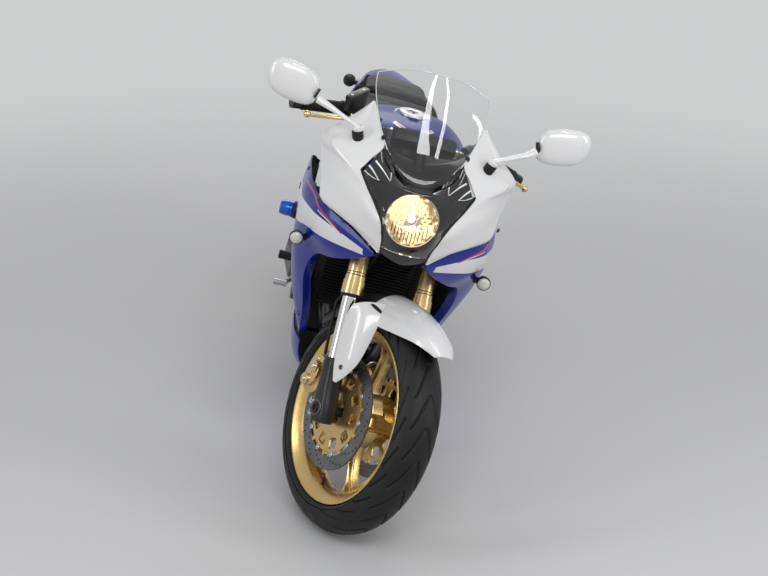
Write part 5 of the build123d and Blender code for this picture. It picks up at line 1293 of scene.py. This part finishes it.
# Indicators: stalk, cup and domed lens
blinkers = Build("indicator_lamps", "chassis", "lamp_clear")
for side in sides:
    for at, axis, r in (((side * 246, 141, 678), (0, -1, 0), 16.5),
                        ((side * 118, 1705, 694), (0, 1, 0), 20)):
        arc = [(10 * math.sin(a), r * math.cos(a)) for a in np.linspace(0.1, 1.5, 9)]
        blinkers.lathe([(-1, r), *arc, (10.2, 0)], at, axis, "lamp_clear", 36)
        blinkers.lathe([(2.5, r + 0.6), (2, r + 1.4), (-6, r + 1.6), (-22, r - 3), (-29, r - 9), (-30, 0)],
                       at, axis, "black_rubber", 36)
    blinkers.tube(smooth_line(on_side(side, [(222, 166, 674), (234, 161, 676), (245, 157, 677)]), 4), 8,
                  "black_rubber", 16)
    blinkers.tube(smooth_line(on_side(side, [(36, 1690, 694), (70, 1691, 694), (108, 1690, 694)]), 4), 7.5,
                  "black_rubber", 16)
blinkers.done(["indicators"])

# Crash bobbins
bobbins = Build("crash_bobbins_turned", "chassis", "blue_anodised")
for side in sides:
    bobbins.lathe([(0, 27), (8, 27), (9, 25), (30, 24), (32, 22)], (side * 222, 482, 627), (side, 0, 0),
                  "black_plastic", 40)
    bobbins.lathe([(32, 22), (33, 22.5), (40, 22), (41, 20.5), (44, 20.5), (45, 22), (62, 20), (68, 17.5),
                   (69, 15), (69, 9), (64, 8.5), (64, 0)], (side * 222, 482, 627), (side, 0, 0),
                   "blue_anodised", 40)
    bobbins.lathe([(64, 7), (66, 7), (66.5, 5), (65, 4.6), (65, 0)], (side * 222, 482, 627), (side, 0, 0),
                  "silver", 24)
bobbins.done(["crash_bobbins"])


# Camera of the picture: angles round, up and rolled, place in metres, focal length in pixels
camera_angles = (-1.944538, 22.254037, 2.461468)
camera_place = (0.011065, -3.627756, 2.122644)
focal_pixels, picture_width = 1596.226, 768


def set_camera():
    az, el, roll = (math.radians(a) for a in camera_angles)
    behind = Vector((math.sin(az) * math.cos(el), -math.cos(az) * math.cos(el), math.sin(el)))
    right = Vector((math.cos(az), math.sin(az), 0))
    top = behind.cross(right)
    r1 = right * math.cos(roll) + top * math.sin(roll)
    u1 = top * math.cos(roll) - right * math.sin(roll)
    m = Matrix((r1, u1, behind)).transposed().to_4x4()
    m.translation = Vector(camera_place) + Vector((shift.x, shift.y, 0))
    data = bpy.data.cameras.new("camera")
    data.sensor_width = 36.0
    data.lens = data.sensor_width * focal_pixels / picture_width
    data.clip_end = 60
    cam = bpy.data.objects.new("camera", data)
    cam.matrix_world = m
    scene.collection.objects.link(cam)
    scene.camera = cam


set_camera()


# Floor and lights
floor_half = 14


def plain_floor():
    me = bpy.data.meshes.new("floor")
    me.from_pydata([(x * floor_half, y * floor_half, 0) for x, y in ((-1, -1), (1, -1), (1, 1), (-1, 1))],
                   [], [(0, 1, 2, 3)])
    ob = bpy.data.objects.new("floor", me)
    scene.collection.objects.link(ob)
    me.materials.append(surface("floor", (0.62, 0.62, 0.63), 0.8, vary=0.02, vary_scale=0.6))


plain_floor()


def area_lamp(name, size, power):
    data = bpy.data.lights.new(name, "AREA")
    data.shape = "RECTANGLE"
    data.size, data.size_y = size
    data.energy = power
    ob = bpy.data.objects.new(name, data)
    scene.collection.objects.link(ob)
    return ob


def lamp(name, at, aim, size, power):
    """Soft studio lamp aimed at a point."""
    ob = area_lamp(name, size, power)
    ob.location = at
    ob.rotation_euler = (Vector(aim) - Vector(at)).to_track_quat("-Z", "Y").to_euler()


lamp("front_soft", (0.4, -3.6, 3.4), (0, -0.4, 0.6), (2.8, 1.4), 62)
lamp("left_strip", (2.8, -2.0, 1.9), (0, -0.4, 0.7), (0.7, 2.4), 26)
lamp("right_strip", (-2.8, -1.8, 2.0), (0, -0.4, 0.7), (0.7, 2.4), 26)
lamp("rear_soft", (0, 3.2, 3.0), (0, 0.4, 0.6), (2.4, 1.6), 42)


screen_middle = (0, 0.15, 1.06)


def band(name, start, end, width, power):
    """Narrow lamp between two points of the upright frame, facing the screen."""
    a, b = body_m @ Vector(start), body_m @ Vector(end)
    mid = (a + b) / 2
    along = (b - a).normalized()
    away = mid - body_m @ Vector(screen_middle)
    away = (away - along * away.dot(along)).normalized()
    side_axis = along.cross(away)
    m = Matrix((side_axis, along, away)).transposed().to_4x4()
    m.translation = mid
    area_lamp(name, (width, (b - a).length), power).matrix_world = m


band("band_one", (0.27, -0.70, 3.3), (0.05, 0.50, 3.3), 0.10, 3.4)
band("band_two", (0.42, -0.70, 3.3), (0.66, 0.55, 3.3), 0.08, 2.8)
band("band_three", (2.6, 1.1, 3.1), (2.8, 1.9, 1.8), 0.12, 2.2)
world = bpy.data.worlds.new("world")
scene.world = world
world.use_nodes = True
backdrop = (0.60, 0.605, 0.61)
world_light = 0.38


def seen_directly(nt):
    """One where the camera looks at a thing itself, or in a mirror or through glass."""
    path = add_node(nt, "LightPath")
    total = path.outputs["Is Camera Ray"]
    for kind in ("Is Glossy Ray", "Is Transmission Ray"):
        more = add_node(nt, "Math")
        more.operation = "MAXIMUM"
        nt.links.new(total, more.inputs[0])
        nt.links.new(path.outputs[kind], more.inputs[1])
        total = more.outputs[0]
    return total


sky = world.node_tree
light = sky.nodes["Background"]
set_inputs(light, Color=(0.78, 0.79, 0.80, 1), Strength=world_light)
shown = add_node(sky, "Background", Color=(*backdrop, 1), Strength=1.0)
pick = add_node(sky, "MixShader")
sky.links.new(seen_directly(sky), pick.inputs["Fac"])
sky.links.new(light.outputs[0], pick.inputs[1])
sky.links.new(shown.outputs[0], pick.inputs[2])
sky.links.new(pick.outputs[0], sky.nodes["World Output"].inputs["Surface"])
# Far away the floor runs into the backdrop, where it is seen directly
fade_from, fade_to = 1.3, 3.6
ground = bpy.data.materials["floor"].node_tree
where = add_node(ground, "TexCoord")
reach = add_node(ground, "VectorMath")
reach.operation = "LENGTH"
ground.links.new(where.outputs["Object"], reach.inputs[0])
fade = add_node(ground, "MapRange")
fade.interpolation_type = "SMOOTHSTEP"
set_inputs(fade, From_Min=fade_from, From_Max=fade_to)
ground.links.new(reach.outputs["Value"], fade.inputs["Value"])
only_seen = add_node(ground, "Math")
only_seen.operation = "MULTIPLY"
ground.links.new(fade.outputs[0], only_seen.inputs[0])
ground.links.new(seen_directly(ground), only_seen.inputs[1])
far = add_node(ground, "Emission", Color=(*backdrop, 1))
blend_in = add_node(ground, "MixShader")
ground.links.new(only_seen.outputs[0], blend_in.inputs["Fac"])
ground.links.new(ground.nodes["Principled BSDF"].outputs[0], blend_in.inputs[1])
ground.links.new(far.outputs[0], blend_in.inputs[2])
ground.links.new(blend_in.outputs[0], ground.nodes["Material Output"].inputs["Surface"])
scene.view_settings.view_transform = "Standard"
